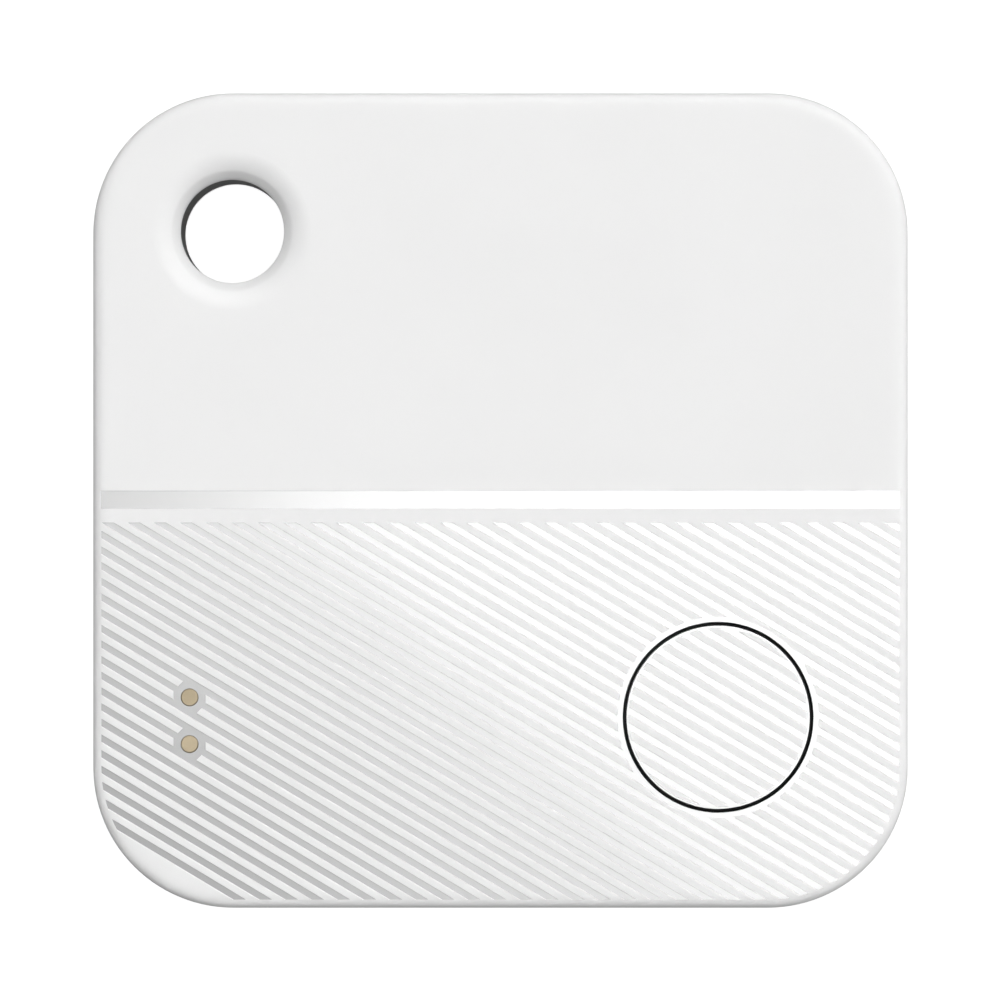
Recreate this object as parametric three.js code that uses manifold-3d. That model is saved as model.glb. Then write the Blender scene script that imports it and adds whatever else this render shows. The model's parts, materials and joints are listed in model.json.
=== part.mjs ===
// Square bluetooth tracker tag with a key-ring hole, a push button and a replaceable coin cell.
// Millimetres. The tag lies on its back: +Z is the way the front face looks, +X right, +Y up the face.
// The origin is the centre of the rear face.

import * as THREE from 'three';
import { mergeVertices } from 'three/addons/utils/BufferGeometryUtils.js';
import Module from 'manifold-3d';

const wasm = await Module();
wasm.setup();

// Outside of the case
const HALF = 18.5;
const THICKNESS = 6.5;
const CORNER = 6.36;
const EDGE = 0.8;
const EDGE_POWER = 3.2;

// Walls of the two shells, the seam between them and the rim that plugs into the front shell
const SIDE_WALL = 1.2;
const FRONT_WALL = 1.0;
const REAR_WALL = 1.0;
const CEILING = THICKNESS - FRONT_WALL;
const SEAM_LOW = 1.4;
const SEAM_HIGH = 1.5;
const INNER_HALF = HALF - SIDE_WALL;
const RIM_OUTER = INNER_HALF - 0.1;
const RIM_INNER = RIM_OUTER - 1.0;
const RIM_TOP = 2.6;
const RIB = { along: 6.0, width: 1.0, proud: 0.05, low: 1.2, high: 1.6 };
const PRY_SLOT = { width: 6.0, depth: 0.6, low: 0.8 };

// Seal ring, and the groove that holds it in the rim
const GROOVE_DEPTH = 0.4;
const GROOVE_LOW = 1.7;
const GROOVE_HIGH = 2.2;
const SEAL_CLEARANCE = 0.05;

// Key-ring hole, concentric with its corner
const KEY = { x: -12.18, y: 12.23 };
const KEY_LIP = 2.4;
const KEY_FLARE = 3.6;
const KEY_FLARE_DEPTH = 0.85;
const KEY_REAR_FLARE = 3.3;
const KEY_REAR_DEPTH = 0.45;
const BUSH = { bore: 2.36, outer: 2.95, seat: 3.0, low: 0.6, high: 5.5 };
const BUSH_GAP = 0.05;
const KEY_BOSS = { radius: 3.7, low: 1.1 };

// Push button, its silicone boot and the switch under it
const BUTTON = { x: 9.87, y: -9.83 };
const CAP = { radius: 4.15, low: 5.0, soft: 0.12 };
const BUTTON_HOLE = 4.32;
const SLEEVE = { outer: 4.27, top: 6.2 };
const WEB = { low: 4.7, high: 4.95, outer: 6.2 };
const BEAD = { inner: 5.4, top: 5.42 };
const NIB = { radius: 1.0, low: 4.62 };
const SWITCH_SIDE = 4.0;
const SWITCH_WELL = { radius: 1.5, floor: 3.82 };
const SWITCH_BASE_TOP = 4.1;
const SWITCH_COVER_TOP = 4.32;
const PLUNGER = { radius: 0.75, top: 4.6 };

// Shallow glossy recesses in the front face
const RECESS = 0.05;
const BAR = { halfWidth: 18.1, low: -0.37, high: 0.44 };
const BUTTON_RECESS = 4.57;
const ISLAND = 0.73;

// Contact pins, which stand on the board and show through the front wall
const CONTACTS = { upper: { x: -14.1, y: -8.93 }, lower: { x: -14.1, y: -11.05 } };
const PIN = { head: 0.4, hole: 0.45, flange: 0.7, stem: 0.3, top: 6.42, soft: 0.06 };

// Board, its screws and their bosses
const BOARD_HALF = 16.9;
const BOARD_LOW = 2.9;
const BOARD_HIGH = 3.7;
const SEAT = 0.02;
const PART_Z = BOARD_HIGH + SEAT;
const KEY_CLEARANCE = 4.1;
const SCREWS = [{ x: -14.0, y: 5.0 }, { x: 14.3, y: -3.6 }, { x: 1.8, y: -14.6 }, { x: 13.9, y: 13.9 }];
const SCREW = { head: 1.1, headLow: 2.35, shank: 0.5, tip: 4.9, clearance: 0.7 };
const SCREW_BOSS = { radius: 1.3, bore: 0.55, boreTop: 5.2 };
const SCREW_RECESS = { length: 1.2, width: 0.22, depth: 0.3 };

// Parts soldered on the board
const BOARD_PARTS = [
  { name: 'radio_chip', x: -13.0, y: -2.0, size: [5.0, 5.0, 0.85], material: 'chip' },
  { name: 'crystal_main', x: -8.9, y: -3.4, size: [2.0, 1.6, 0.5], material: 'steel' },
  { name: 'crystal_sleep', x: -13.0, y: 1.8, size: [3.2, 1.5, 0.75], material: 'steel' },
  { name: 'chip_antenna', x: 8.5, y: -15.9, size: [7.0, 1.6, 0.5], material: 'ceramic' },
  { name: 'buzzer_inductor', x: 15.3, y: -0.5, size: [2.4, 2.4, 1.1], material: 'chip' },
];
const CAPACITOR_SIZE = [1.0, 0.5, 0.5];
const CAPACITORS = [[-9.4, -0.4], [-9.4, -1.5], [-15.9, -5.6], [-14.2, -5.6], [15.7, 6.4], [15.7, 7.6]];
const RESISTOR_SIZE = [1.0, 0.5, 0.35];
const RESISTORS = [[-12.5, -5.6], [-10.8, -5.6], [5.6, -13.2], [3.6, -11.2]];

// Coin cell, with its + side towards the rear cover, its holder and the pad behind it
const CELL = { x: 3.0, y: 4.0, low: 1.35, radius: 10.0, height: 3.2, wall: 0.25 };
const HOLDER = { bore: 10.15, outer: 10.7, low: 1.6, high: 4.4 };
const HOLDER_FLANGE = { outer: 11.6, low: 2.3 };
const HOLDER_EAR = { outer: 11.8, width: 3.0 };
const HOLDER_WINDOW = { width: 3.0, low: 2.95 };
const BOARD_CELL_HOLE = 10.8;
const PAD = { radius: 6.0, top: 1.3 };
const CONTACT_STRIP = { negative: 0.15, positive: 0.12 };

// Sounder: a brass and ceramic disc on a soft ring under the front wall
const SOUNDER = { x: -6.0, y: -10.8, radius: 6.0 };
const SOUNDER_RING = { inner: 5.2, low: 5.04 };
const SOUNDER_DISC = { low: 4.84, high: 5.02 };
const SOUNDER_CERAMIC = { radius: 4.2, low: 4.66, high: 4.82 };
const FINGER = { thickness: 0.12, width: 1.0 };
const RIM_FINGER = 5.0;

// Fineness of the round shapes
const CORNER_STEPS = 7;
const EDGE_STEPS = 5;
const FLARE_STEPS = 5;
const SOFT_STEPS = 3;
const FINE = 40;
const MEDIUM = 24;
const SMALL = 12;
const WELD = 1e-4;
const BEYOND = 1.0;

const CENTRE = { x: 0, y: 0 };

const finish = (color, roughness, metalness = 0) =>
  new THREE.MeshStandardMaterial({ color, roughness, metalness });

const MATERIALS = {
  shell: finish(0xeceded, 0.5),
  bush: finish(0x3b3c3f, 0.4, 0.4),
  silicone: finish(0x0e0e10, 0.7),
  gold: finish(0xc9a75c, 0.3, 1),
  foam: finish(0x2c2d30, 0.95),
  holder: finish(0x1a1b1d, 0.55),
  board: finish(0x12402c, 0.45),
  steel: finish(0xb9bbbd, 0.3, 1),
  screw: finish(0x8f9194, 0.35, 1),
  chip: finish(0x17181a, 0.5),
  ceramic: finish(0xd9d4c6, 0.5),
  capacitor: finish(0x9b7d5a, 0.5),
  brass: finish(0xc8a552, 0.35, 1),
  cathode: finish(0x2b2b2d, 0.9),
  separator: finish(0xe9e7e0, 0.9),
  lithium: finish(0xa9adb2, 0.4, 1),
};

// ---- Geometry helpers -------------------------------------------------------------------------

// Merges shared corners and drops the triangles that this leaves without area.
function weld(geometry) {
  const bare = geometry.clone();
  bare.deleteAttribute('normal');
  bare.deleteAttribute('uv');
  const welded = mergeVertices(bare, WELD);
  const index = welded.index.array;
  const kept = [];
  for (let i = 0; i < index.length; i += 3) {
    const [a, b, c] = [index[i], index[i + 1], index[i + 2]];
    if (a !== b && b !== c && c !== a) {
      kept.push(a, b, c);
    }
  }
  welded.setIndex(kept);
  return welded;
}

function solid(geometry) {
  const welded = weld(geometry);
  return new wasm.Manifold(new wasm.Mesh({
    numProp: 3,
    vertProperties: new Float32Array(welded.attributes.position.array),
    triVerts: new Uint32Array(welded.index.array),
  }));
}

function geometryOf(manifold) {
  const { vertProperties, triVerts } = manifold.getMesh();
  const geometry = new THREE.BufferGeometry();
  geometry.setAttribute('position', new THREE.BufferAttribute(vertProperties, 3));
  geometry.setIndex(new THREE.BufferAttribute(triVerts, 1));
  return geometry;
}

function piece(name, shape, material) {
  const geometry = shape.isBufferGeometry ? weld(shape) : geometryOf(shape);
  geometry.computeVertexNormals();
  const mesh = new THREE.Mesh(geometry, material);
  mesh.name = name;
  return mesh;
}

// One level of a square with rounded corners, anticlockwise from the right-hand side.
function squareRing(half, corner, z) {
  const ring = [];
  const centre = half - corner;
  for (let quarter = 0; quarter < 4; quarter++) {
    const middle = (quarter + 0.5) * Math.PI / 2;
    const signX = Math.sign(Math.cos(middle));
    const signY = Math.sign(Math.sin(middle));
    for (let step = 0; step <= CORNER_STEPS; step++) {
      const angle = (quarter + step / CORNER_STEPS) * Math.PI / 2;
      const x = signX * centre + corner * Math.cos(angle);
      const y = signY * centre + corner * Math.sin(angle);
      ring.push(new THREE.Vector3(x, y, z));
    }
  }
  return ring;
}

// A closed skin over rings of equal length, from the lowest to the highest, with flat ends.
function loft(rings) {
  const count = rings[0].length;
  const points = rings.flat();
  const index = [];
  for (let level = 0; level < rings.length - 1; level++) {
    for (let i = 0; i < count; i++) {
      const next = (i + 1) % count;
      const low = level * count;
      const high = low + count;
      index.push(low + i, low + next, high + next, low + i, high + next, high + i);
    }
  }
  const top = (rings.length - 1) * count;
  for (let i = 1; i < count - 1; i++) {
    index.push(0, i + 1, i);
    index.push(top, top + i, top + i + 1);
  }
  const geometry = new THREE.BufferGeometry().setFromPoints(points);
  geometry.setIndex(index);
  return geometry;
}

// A slab between two levels, its outline the case's own, moved inwards to the given half width.
function squareSlab(half, low, high) {
  const corner = CORNER - (HALF - half);
  return loft([squareRing(half, corner, low), squareRing(half, corner, high)]);
}

// The case's soft edge: a superellipse that leaves the side wall upright and meets the face flat.
function edgeRing(step, z, towards) {
  const angle = (step / EDGE_STEPS) * Math.PI / 2;
  const inset = EDGE * (1 - Math.cos(angle) ** (2 / EDGE_POWER));
  const rise = EDGE * Math.sin(angle) ** (2 / EDGE_POWER);
  return squareRing(HALF - inset, CORNER - inset, z + towards * (EDGE - rise));
}

// Turns a profile of [radius, height] pairs about an upright axis.
function turned(profile, segments, place = CENTRE) {
  const points = profile.map(([radius, height]) => new THREE.Vector2(radius, height));
  const geometry = new THREE.LatheGeometry(points, segments);
  geometry.rotateX(Math.PI / 2);
  geometry.translate(place.x, place.y, 0);
  return geometry;
}

function disc(radius, low, high, segments, place) {
  return turned([[0, low], [radius, low], [radius, high], [0, high]], segments, place);
}

function ring(inner, outer, low, high, segments, place) {
  const profile = [[inner, low], [outer, low], [outer, high], [inner, high], [inner, low]];
  return turned(profile, segments, place);
}

function block(width, depth, low, high, place = CENTRE) {
  const geometry = new THREE.BoxGeometry(width, depth, high - low);
  geometry.translate(place.x, place.y, (low + high) / 2);
  return geometry;
}

// A bent strip that runs along X: its path is a list of [x, height] pairs down the middle of its thickness.
function strip(path, thickness, width) {
  const points = path.map(([along, height]) => new THREE.Vector2(along, height));
  const offsets = points.map((point, i) => {
    const before = points[Math.max(i - 1, 0)];
    const after = points[Math.min(i + 1, points.length - 1)];
    const into = point.clone().sub(before).normalize();
    const outOf = after.clone().sub(point).normalize();
    const tangent = into.add(outOf).normalize();
    return new THREE.Vector2(-tangent.y, tangent.x).multiplyScalar(thickness / 2);
  });
  const below = points.map((point, i) => point.clone().sub(offsets[i]));
  const above = points.map((point, i) => point.clone().add(offsets[i])).reverse();
  const outline = new THREE.Shape([...below, ...above]);
  const geometry = new THREE.ExtrudeGeometry(outline, { depth: width, bevelEnabled: false });
  geometry.rotateX(Math.PI / 2);
  geometry.translate(0, width / 2, 0);
  return geometry;
}

function group(place, height, meshes) {
  const assembly = new THREE.Group();
  assembly.position.set(place.x, place.y, height);
  assembly.add(...meshes);
  return assembly;
}

// ---- Case -------------------------------------------------------------------------------------

// A trumpet-shaped mouth: quarter of an ellipse from the upright lip out to the flat face.
function flare(lip, mouth, depth, face, towards) {
  const points = [];
  for (let step = 0; step <= FLARE_STEPS; step++) {
    const angle = (1 - step / FLARE_STEPS) * Math.PI / 2;
    const radius = mouth - (mouth - lip) * Math.sin(angle);
    points.push([radius, face - towards * depth * (1 - Math.cos(angle))]);
  }
  return points;
}

function frontKeyHole() {
  const shelf = BUSH.high + BUSH_GAP;
  const above = THICKNESS + BEYOND;
  const mouth = flare(KEY_LIP, KEY_FLARE, KEY_FLARE_DEPTH, THICKNESS, 1);
  const profile = [
    [0, 0], [BUSH.seat, 0], [BUSH.seat, shelf], [KEY_LIP, shelf], ...mouth, [KEY_FLARE, above], [0, above],
  ];
  return turned(profile, FINE, KEY);
}

function rearKeyHole() {
  const shelf = BUSH.low - BUSH_GAP;
  const mouth = flare(KEY_LIP, KEY_REAR_FLARE, KEY_REAR_DEPTH, 0, -1).reverse();
  const profile = [
    [0, -BEYOND], [KEY_REAR_FLARE, -BEYOND], ...mouth, [KEY_LIP, shelf], [BUSH.seat, shelf],
    [BUSH.seat, RIM_TOP], [0, RIM_TOP],
  ];
  return turned(profile, FINE, KEY);
}

// The shallow glossy areas: the bar, the ring round the button and an island round each contact.
function frontRecesses() {
  const low = THICKNESS - RECESS;
  const high = THICKNESS + BEYOND;
  const middle = { x: 0, y: (BAR.low + BAR.high) / 2 };
  const bar = solid(block(2 * BAR.halfWidth, BAR.high - BAR.low, low, high, middle));
  const aroundButton = solid(disc(BUTTON_RECESS, low, high, FINE, BUTTON));
  const islands = Object.values(CONTACTS).map((place) => solid(disc(ISLAND, low, high, SMALL, place)));
  return islands.reduce((all, island) => all.add(island), bar.add(aroundButton));
}

function frontShell() {
  const rings = [squareRing(HALF, CORNER, SEAM_HIGH)];
  for (let step = 0; step <= EDGE_STEPS; step++) {
    rings.push(edgeRing(step, THICKNESS, -1));
  }
  const intoWall = CEILING + FRONT_WALL / 2;
  const through = THICKNESS + BEYOND;
  let shell = solid(loft(rings));
  shell = shell.subtract(solid(squareSlab(INNER_HALF, SEAM_HIGH - BEYOND, CEILING)));
  shell = shell.add(solid(disc(KEY_BOSS.radius, KEY_BOSS.low, intoWall, FINE, KEY)));
  shell = shell.subtract(solid(frontKeyHole()));
  for (const place of SCREWS) {
    shell = shell.add(solid(disc(SCREW_BOSS.radius, PART_Z, intoWall, SMALL, place)));
    shell = shell.subtract(solid(disc(SCREW_BOSS.bore, PART_Z - BEYOND, SCREW_BOSS.boreTop, SMALL, place)));
  }
  shell = shell.subtract(solid(disc(BUTTON_HOLE, CEILING - BEYOND, through, FINE, BUTTON)));
  for (const place of Object.values(CONTACTS)) {
    shell = shell.subtract(solid(disc(PIN.hole, CEILING - BEYOND, through, SMALL, place)));
  }
  return piece('front_shell', shell.subtract(frontRecesses()), MATERIALS.shell);
}

function keyringBush() {
  const bush = piece('keyring_bush', ring(BUSH.bore, BUSH.outer, BUSH.low, BUSH.high, FINE), MATERIALS.bush);
  bush.position.set(KEY.x, KEY.y, 0);
  return bush;
}

// Small ribs on the rim, two to a side, that the wall of the front shell grips.
function gripRibs() {
  const depth = 0.4;
  const place = RIM_OUTER + RIB.proud - depth / 2;
  const ribs = [];
  for (const along of [-RIB.along, RIB.along]) {
    for (const side of [-place, place]) {
      ribs.push(solid(block(RIB.width, depth, RIB.low, RIB.high, { x: along, y: side })));
      ribs.push(solid(block(depth, RIB.width, RIB.low, RIB.high, { x: side, y: along })));
    }
  }
  return ribs;
}

function rearCover() {
  const rings = [];
  for (let step = EDGE_STEPS; step >= 0; step--) {
    rings.push(edgeRing(step, 0, 1));
  }
  rings.push(squareRing(HALF, CORNER, SEAM_LOW));
  let cover = solid(loft(rings)).add(solid(squareSlab(RIM_OUTER, REAR_WALL, RIM_TOP)));
  for (const rib of gripRibs()) {
    cover = cover.add(rib);
  }
  cover = cover.subtract(solid(squareSlab(RIM_INNER, REAR_WALL, RIM_TOP + BEYOND)));
  const outside = solid(squareSlab(RIM_OUTER + GROOVE_DEPTH, GROOVE_LOW, GROOVE_HIGH));
  const core = solid(squareSlab(RIM_OUTER - GROOVE_DEPTH, GROOVE_LOW - BEYOND, GROOVE_HIGH + BEYOND));
  cover = cover.subtract(outside.subtract(core));
  cover = cover.subtract(solid(rearKeyHole()));
  const slotPlace = { x: 0, y: -HALF };
  const slot = block(PRY_SLOT.width, 2 * PRY_SLOT.depth, PRY_SLOT.low, SEAM_LOW + BEYOND, slotPlace);
  return piece('rear_cover', cover.subtract(solid(slot)), MATERIALS.shell);
}

function caseSeal() {
  const low = GROOVE_LOW + SEAL_CLEARANCE;
  const high = GROOVE_HIGH - SEAL_CLEARANCE;
  const innerHalf = RIM_OUTER - GROOVE_DEPTH + SEAL_CLEARANCE;
  const outer = solid(squareSlab(INNER_HALF - SEAL_CLEARANCE, low, high));
  const inner = solid(squareSlab(innerHalf, low - BEYOND, high + BEYOND));
  return piece('case_seal', outer.subtract(inner), MATERIALS.silicone);
}

// ---- Button, switch and contacts --------------------------------------------------------------

function buttonCap() {
  const profile = [[0, CAP.low], [CAP.radius, CAP.low]];
  for (let step = 0; step <= SOFT_STEPS; step++) {
    const angle = (step / SOFT_STEPS) * Math.PI / 2;
    const radius = CAP.radius - CAP.soft * (1 - Math.cos(angle));
    profile.push([radius, THICKNESS - CAP.soft * (1 - Math.sin(angle))]);
  }
  profile.push([0, THICKNESS]);
  return piece('button_cap', turned(profile, FINE), MATERIALS.shell);
}

// A boot that wraps the cap's side, with a web out to a bead bonded under the front wall.
function buttonMembrane() {
  const bore = CAP.radius + SEAT;
  const cup = CAP.low - SEAT;
  const profile = [
    [0, NIB.low], [NIB.radius, NIB.low], [NIB.radius + 0.1, WEB.low], [WEB.outer, WEB.low],
    [WEB.outer, BEAD.top], [BEAD.inner, BEAD.top], [BEAD.inner, WEB.high], [SLEEVE.outer, WEB.high],
    [SLEEVE.outer, SLEEVE.top], [bore, SLEEVE.top], [bore, cup], [0, cup],
  ];
  return piece('button_membrane', turned(profile, FINE), MATERIALS.silicone);
}

function switchBase() {
  const base = solid(block(SWITCH_SIDE, SWITCH_SIDE, PART_Z, SWITCH_BASE_TOP));
  const well = solid(disc(SWITCH_WELL.radius, SWITCH_WELL.floor, SWITCH_BASE_TOP + BEYOND, MEDIUM));
  return piece('switch_base', base.subtract(well), MATERIALS.holder);
}

function switchDome() {
  const low = SWITCH_WELL.floor + SEAT;
  const top = SWITCH_BASE_TOP;
  const profile = [
    [0, top - 0.08], [0.8, top - 0.12], [1.35, low], [1.45, low], [0.85, top - 0.04], [0, top],
  ];
  return piece('switch_dome', turned(profile, MEDIUM), MATERIALS.steel);
}

function switchCover() {
  const sheet = solid(block(SWITCH_SIDE, SWITCH_SIDE, SWITCH_BASE_TOP + SEAT, SWITCH_COVER_TOP));
  const hole = disc(PLUNGER.radius + 0.08, SWITCH_BASE_TOP - BEYOND, SWITCH_COVER_TOP + BEYOND, MEDIUM);
  return piece('switch_cover', sheet.subtract(solid(hole)), MATERIALS.steel);
}

function switchPlunger() {
  const plunger = disc(PLUNGER.radius, SWITCH_BASE_TOP + SEAT, PLUNGER.top, MEDIUM);
  return piece('switch_plunger', plunger, MATERIALS.holder);
}

function contactPin(name, place) {
  const flangeTop = CEILING - 0.08;
  const flangeLow = flangeTop - 0.2;
  const profile = [
    [0, PART_Z], [PIN.stem, PART_Z], [PIN.stem, flangeLow], [PIN.flange, flangeLow], [PIN.flange, flangeTop],
    [PIN.head, flangeTop], [PIN.head, PIN.top - PIN.soft], [PIN.head - PIN.soft, PIN.top], [0, PIN.top],
  ];
  const pin = piece(name, turned(profile, SMALL), MATERIALS.gold);
  pin.position.set(place.x, place.y, 0);
  return pin;
}

// ---- Board ------------------------------------------------------------------------------------

// The board leaves out its corner at the key-ring hole, and is bored for the cell and the screws.
function mainBoard() {
  const low = BOARD_LOW - BEYOND;
  const high = BOARD_HIGH + BEYOND;
  const reach = BOARD_HALF + KEY.x + KEY_CLEARANCE;
  const inward = { x: KEY.x + KEY_CLEARANCE, y: KEY.y - KEY_CLEARANCE };
  const side = reach + BEYOND;
  const square = solid(block(side, side, low, high, { x: inward.x - side / 2, y: inward.y + side / 2 }));
  const quarter = solid(block(2 * KEY_CLEARANCE, 2 * KEY_CLEARANCE, low, high, inward));
  const aroundKey = solid(disc(KEY_CLEARANCE, low, high, MEDIUM, KEY));
  const notch = square.subtract(quarter).add(aroundKey);
  let board = solid(squareSlab(BOARD_HALF, BOARD_LOW, BOARD_HIGH)).subtract(notch);
  board = board.subtract(solid(disc(BOARD_CELL_HOLE, low, high, FINE, CELL)));
  for (const place of SCREWS) {
    board = board.subtract(solid(disc(SCREW.clearance, low, high, SMALL, place)));
  }
  return piece('main_board', board, MATERIALS.board);
}

// A cross-headed screw, driven from behind the board up into its boss.
function boardScrew(place, i) {
  const under = BOARD_LOW - SEAT;
  const soft = 0.15;
  const profile = [
    [0, SCREW.headLow], [SCREW.head - soft, SCREW.headLow], [SCREW.head, SCREW.headLow + soft],
    [SCREW.head, under], [SCREW.shank, under], [SCREW.shank, SCREW.tip - 0.3], [0.2, SCREW.tip],
    [0, SCREW.tip],
  ];
  const { length, width, depth } = SCREW_RECESS;
  const low = SCREW.headLow - BEYOND;
  const high = SCREW.headLow + depth;
  const cross = solid(block(length, width, low, high)).add(solid(block(width, length, low, high)));
  const shape = solid(turned(profile, SMALL)).subtract(cross);
  const screw = piece(`board_screw_${i + 1}`, shape, MATERIALS.screw);
  screw.position.set(place.x, place.y, 0);
  return screw;
}

function boardPart(name, x, y, [width, depth, height], material) {
  const mesh = piece(name, block(width, depth, 0, height), material);
  mesh.position.set(x, y, 0);
  return mesh;
}

function boardParts() {
  const { capacitor, chip } = MATERIALS;
  return [
    ...BOARD_PARTS.map(({ name, x, y, size, material }) => boardPart(name, x, y, size, MATERIALS[material])),
    ...CAPACITORS.map(([x, y], i) => boardPart(`capacitor_${i + 1}`, x, y, CAPACITOR_SIZE, capacitor)),
    ...RESISTORS.map(([x, y], i) => boardPart(`resistor_${i + 1}`, x, y, RESISTOR_SIZE, chip)),
  ];
}

// ---- Coin cell, its holder and contacts, on the cell's own axis --------------------------------

// The can is a cup whose edge is crimped in over the gasket.
function cellCan() {
  const { radius, height, wall } = CELL;
  const profile = [
    [0, 0], [radius - 0.3, 0], [radius, 0.3], [radius, height - 0.5], [radius - 0.2, height - 0.2],
    [radius - 0.8, height - 0.05], [radius - 0.85, height - 0.19], [radius - 0.4, height - 0.4],
    [radius - wall, height - 0.6], [radius - wall, wall], [0, wall],
  ];
  return piece('battery_can', turned(profile, FINE), MATERIALS.steel);
}

function cellGasket() {
  const { radius, height, wall } = CELL;
  const outer = radius - wall - 0.04;
  const inner = outer - 0.29;
  const low = wall + 0.06;
  const profile = [
    [inner, low], [outer, low], [outer, height - 0.62], [outer - 0.14, height - 0.45],
    [outer - 0.59, height - 0.24], [outer - 0.66, height - 0.33], [inner, height - 0.53], [inner, low],
  ];
  return piece('battery_gasket', turned(profile, FINE), MATERIALS.silicone);
}

// The cap is a shallow lid with a shoulder, whose skirt hangs inside the gasket.
function cellCap() {
  const { height } = CELL;
  const skirt = 9.38;
  const inside = skirt - 0.23;
  const profile = [
    [0, height - 0.23], [8.5, height - 0.23], [8.7, height - 0.35], [8.75, height - 0.6],
    [inside, height - 0.7], [inside, 0.65], [skirt, 0.65], [skirt, height - 0.57], [9.02, height - 0.39],
    [8.95, height - 0.13], [8.8, height], [0, height],
  ];
  return piece('battery_cap', turned(profile, FINE), MATERIALS.steel);
}

function cellFilling() {
  const { wall } = CELL;
  return [
    piece('battery_cathode', disc(9.05, wall + 0.04, 1.65, MEDIUM), MATERIALS.cathode),
    piece('battery_separator', disc(9.08, 1.69, 1.85, MEDIUM), MATERIALS.separator),
    piece('battery_anode', disc(8.4, 1.89, 2.93, MEDIUM), MATERIALS.lithium),
  ];
}

// A ring through the board, held by a flange below it and three ears above it.
function batteryHolder() {
  const { bore, outer, low, high } = HOLDER;
  const overlap = 0.1;
  const clear = 0.04;
  const barrel = solid(ring(bore, outer, low, high, FINE));
  const flange = ring(outer - overlap, HOLDER_FLANGE.outer, HOLDER_FLANGE.low, BOARD_LOW - clear, FINE);
  const shelf = solid(ring(outer - overlap, HOLDER_EAR.outer, BOARD_HIGH + clear, high, FINE));
  const across = solid(block(HOLDER_EAR.width, 3 * outer, BOARD_HIGH, high + BEYOND));
  const toTheRight = { x: outer, y: 0 };
  const right = solid(block(outer, HOLDER_EAR.width, BOARD_HIGH, high + BEYOND, toTheRight));
  const ears = shelf.intersect(across.add(right));
  const toTheLeft = { x: -bore, y: 0 };
  const windowBlock = block(2.6, HOLDER_WINDOW.width, HOLDER_WINDOW.low, high + BEYOND, toTheLeft);
  const holder = barrel.add(solid(flange)).add(ears).subtract(solid(windowBlock));
  return piece('battery_holder', holder, MATERIALS.holder);
}

// Springs down on the cap's middle, from a foot on the board below the cell.
function negativeContact() {
  const foot = PART_Z + CONTACT_STRIP.negative / 2;
  const path = [
    [-13.8, foot], [-12.3, foot], [-11.4, 4.98], [-4.5, 4.98], [-0.8, 4.66], [0.4, 4.66], [2.2, 4.92],
  ];
  const shape = strip(path, CONTACT_STRIP.negative, 2.6);
  const contact = piece('battery_contact_negative', shape, MATERIALS.steel);
  contact.rotation.z = Math.PI / 2;
  contact.position.x = -1.5;
  return contact;
}

// Presses sideways on the can, through the window in the holder.
function positiveContact() {
  const foot = PART_Z + CONTACT_STRIP.positive / 2;
  const touch = CELL.radius + CONTACT_STRIP.positive;
  const path = [
    [-13.6, foot], [-12.3, foot], [-12.0, 4.2], [-10.7, 4.2], [-10.45, 3.9], [-touch, 3.4], [-touch, 3.2],
    [-10.3, 3.0],
  ];
  return piece('battery_contact_positive', strip(path, CONTACT_STRIP.positive, 2.2), MATERIALS.steel);
}

function foamPad() {
  return piece('battery_foam_pad', disc(PAD.radius, REAR_WALL + SEAT, PAD.top, MEDIUM), MATERIALS.foam);
}

// ---- Sounder, on its own axis ------------------------------------------------------------------

// A C-shaped spring finger that stands on the board and presses up against the disc.
function springFinger(name, x, top) {
  const foot = PART_Z + FINGER.thickness / 2;
  const path = [[0.9, foot], [-0.6, foot], [-0.9, foot + 0.24], [-0.6, top - 0.3], [0.5, top - 0.1]];
  const finger = piece(name, strip(path, FINGER.thickness, FINGER.width), MATERIALS.steel);
  finger.position.x = x;
  return finger;
}

function sounderPieces() {
  const { radius } = SOUNDER;
  const softRing = ring(SOUNDER_RING.inner, radius, SOUNDER_RING.low, CEILING - SEAT, MEDIUM);
  const brass = disc(radius, SOUNDER_DISC.low, SOUNDER_DISC.high, MEDIUM);
  const ceramic = disc(SOUNDER_CERAMIC.radius, SOUNDER_CERAMIC.low, SOUNDER_CERAMIC.high, MEDIUM);
  return [
    piece('buzzer_ring', softRing, MATERIALS.foam),
    piece('buzzer_disc', brass, MATERIALS.brass),
    piece('buzzer_ceramic', ceramic, MATERIALS.ceramic),
    springFinger('buzzer_spring_rim', -RIM_FINGER, SOUNDER_DISC.low),
    springFinger('buzzer_spring_centre', 0, SOUNDER_CERAMIC.low),
  ];
}

// ---- Assembly ---------------------------------------------------------------------------------

const tag = new THREE.Group();
tag.add(frontShell(), keyringBush(), rearCover(), caseSeal());
tag.add(contactPin('contact_pin_upper', CONTACTS.upper), contactPin('contact_pin_lower', CONTACTS.lower));
tag.add(mainBoard(), ...SCREWS.map(boardScrew), group(CENTRE, PART_Z, boardParts()));
tag.add(group(BUTTON, 0, [
  buttonCap(), buttonMembrane(), switchBase(), switchDome(), switchCover(), switchPlunger(),
]));
tag.add(group(CELL, CELL.low, [cellCan(), cellGasket(), cellCap(), ...cellFilling()]));
tag.add(group(CELL, 0, [batteryHolder(), negativeContact(), positiveContact(), foamPad()]));
tag.add(group(SOUNDER, 0, sounderPieces()));

export default tag;
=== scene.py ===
"""A square bluetooth tracker tag: fine surfaces, finishes, studio light and camera.

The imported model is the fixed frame. Every CAD node is rebuilt here as a fine surface in the node's own place
and rides on the node's body. Shapes are worked out in millimetres; a finished mesh is turned to metres.
"""

import json
import logging
import math
from dataclasses import dataclass, field
from enum import Enum
from typing import Any

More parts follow.
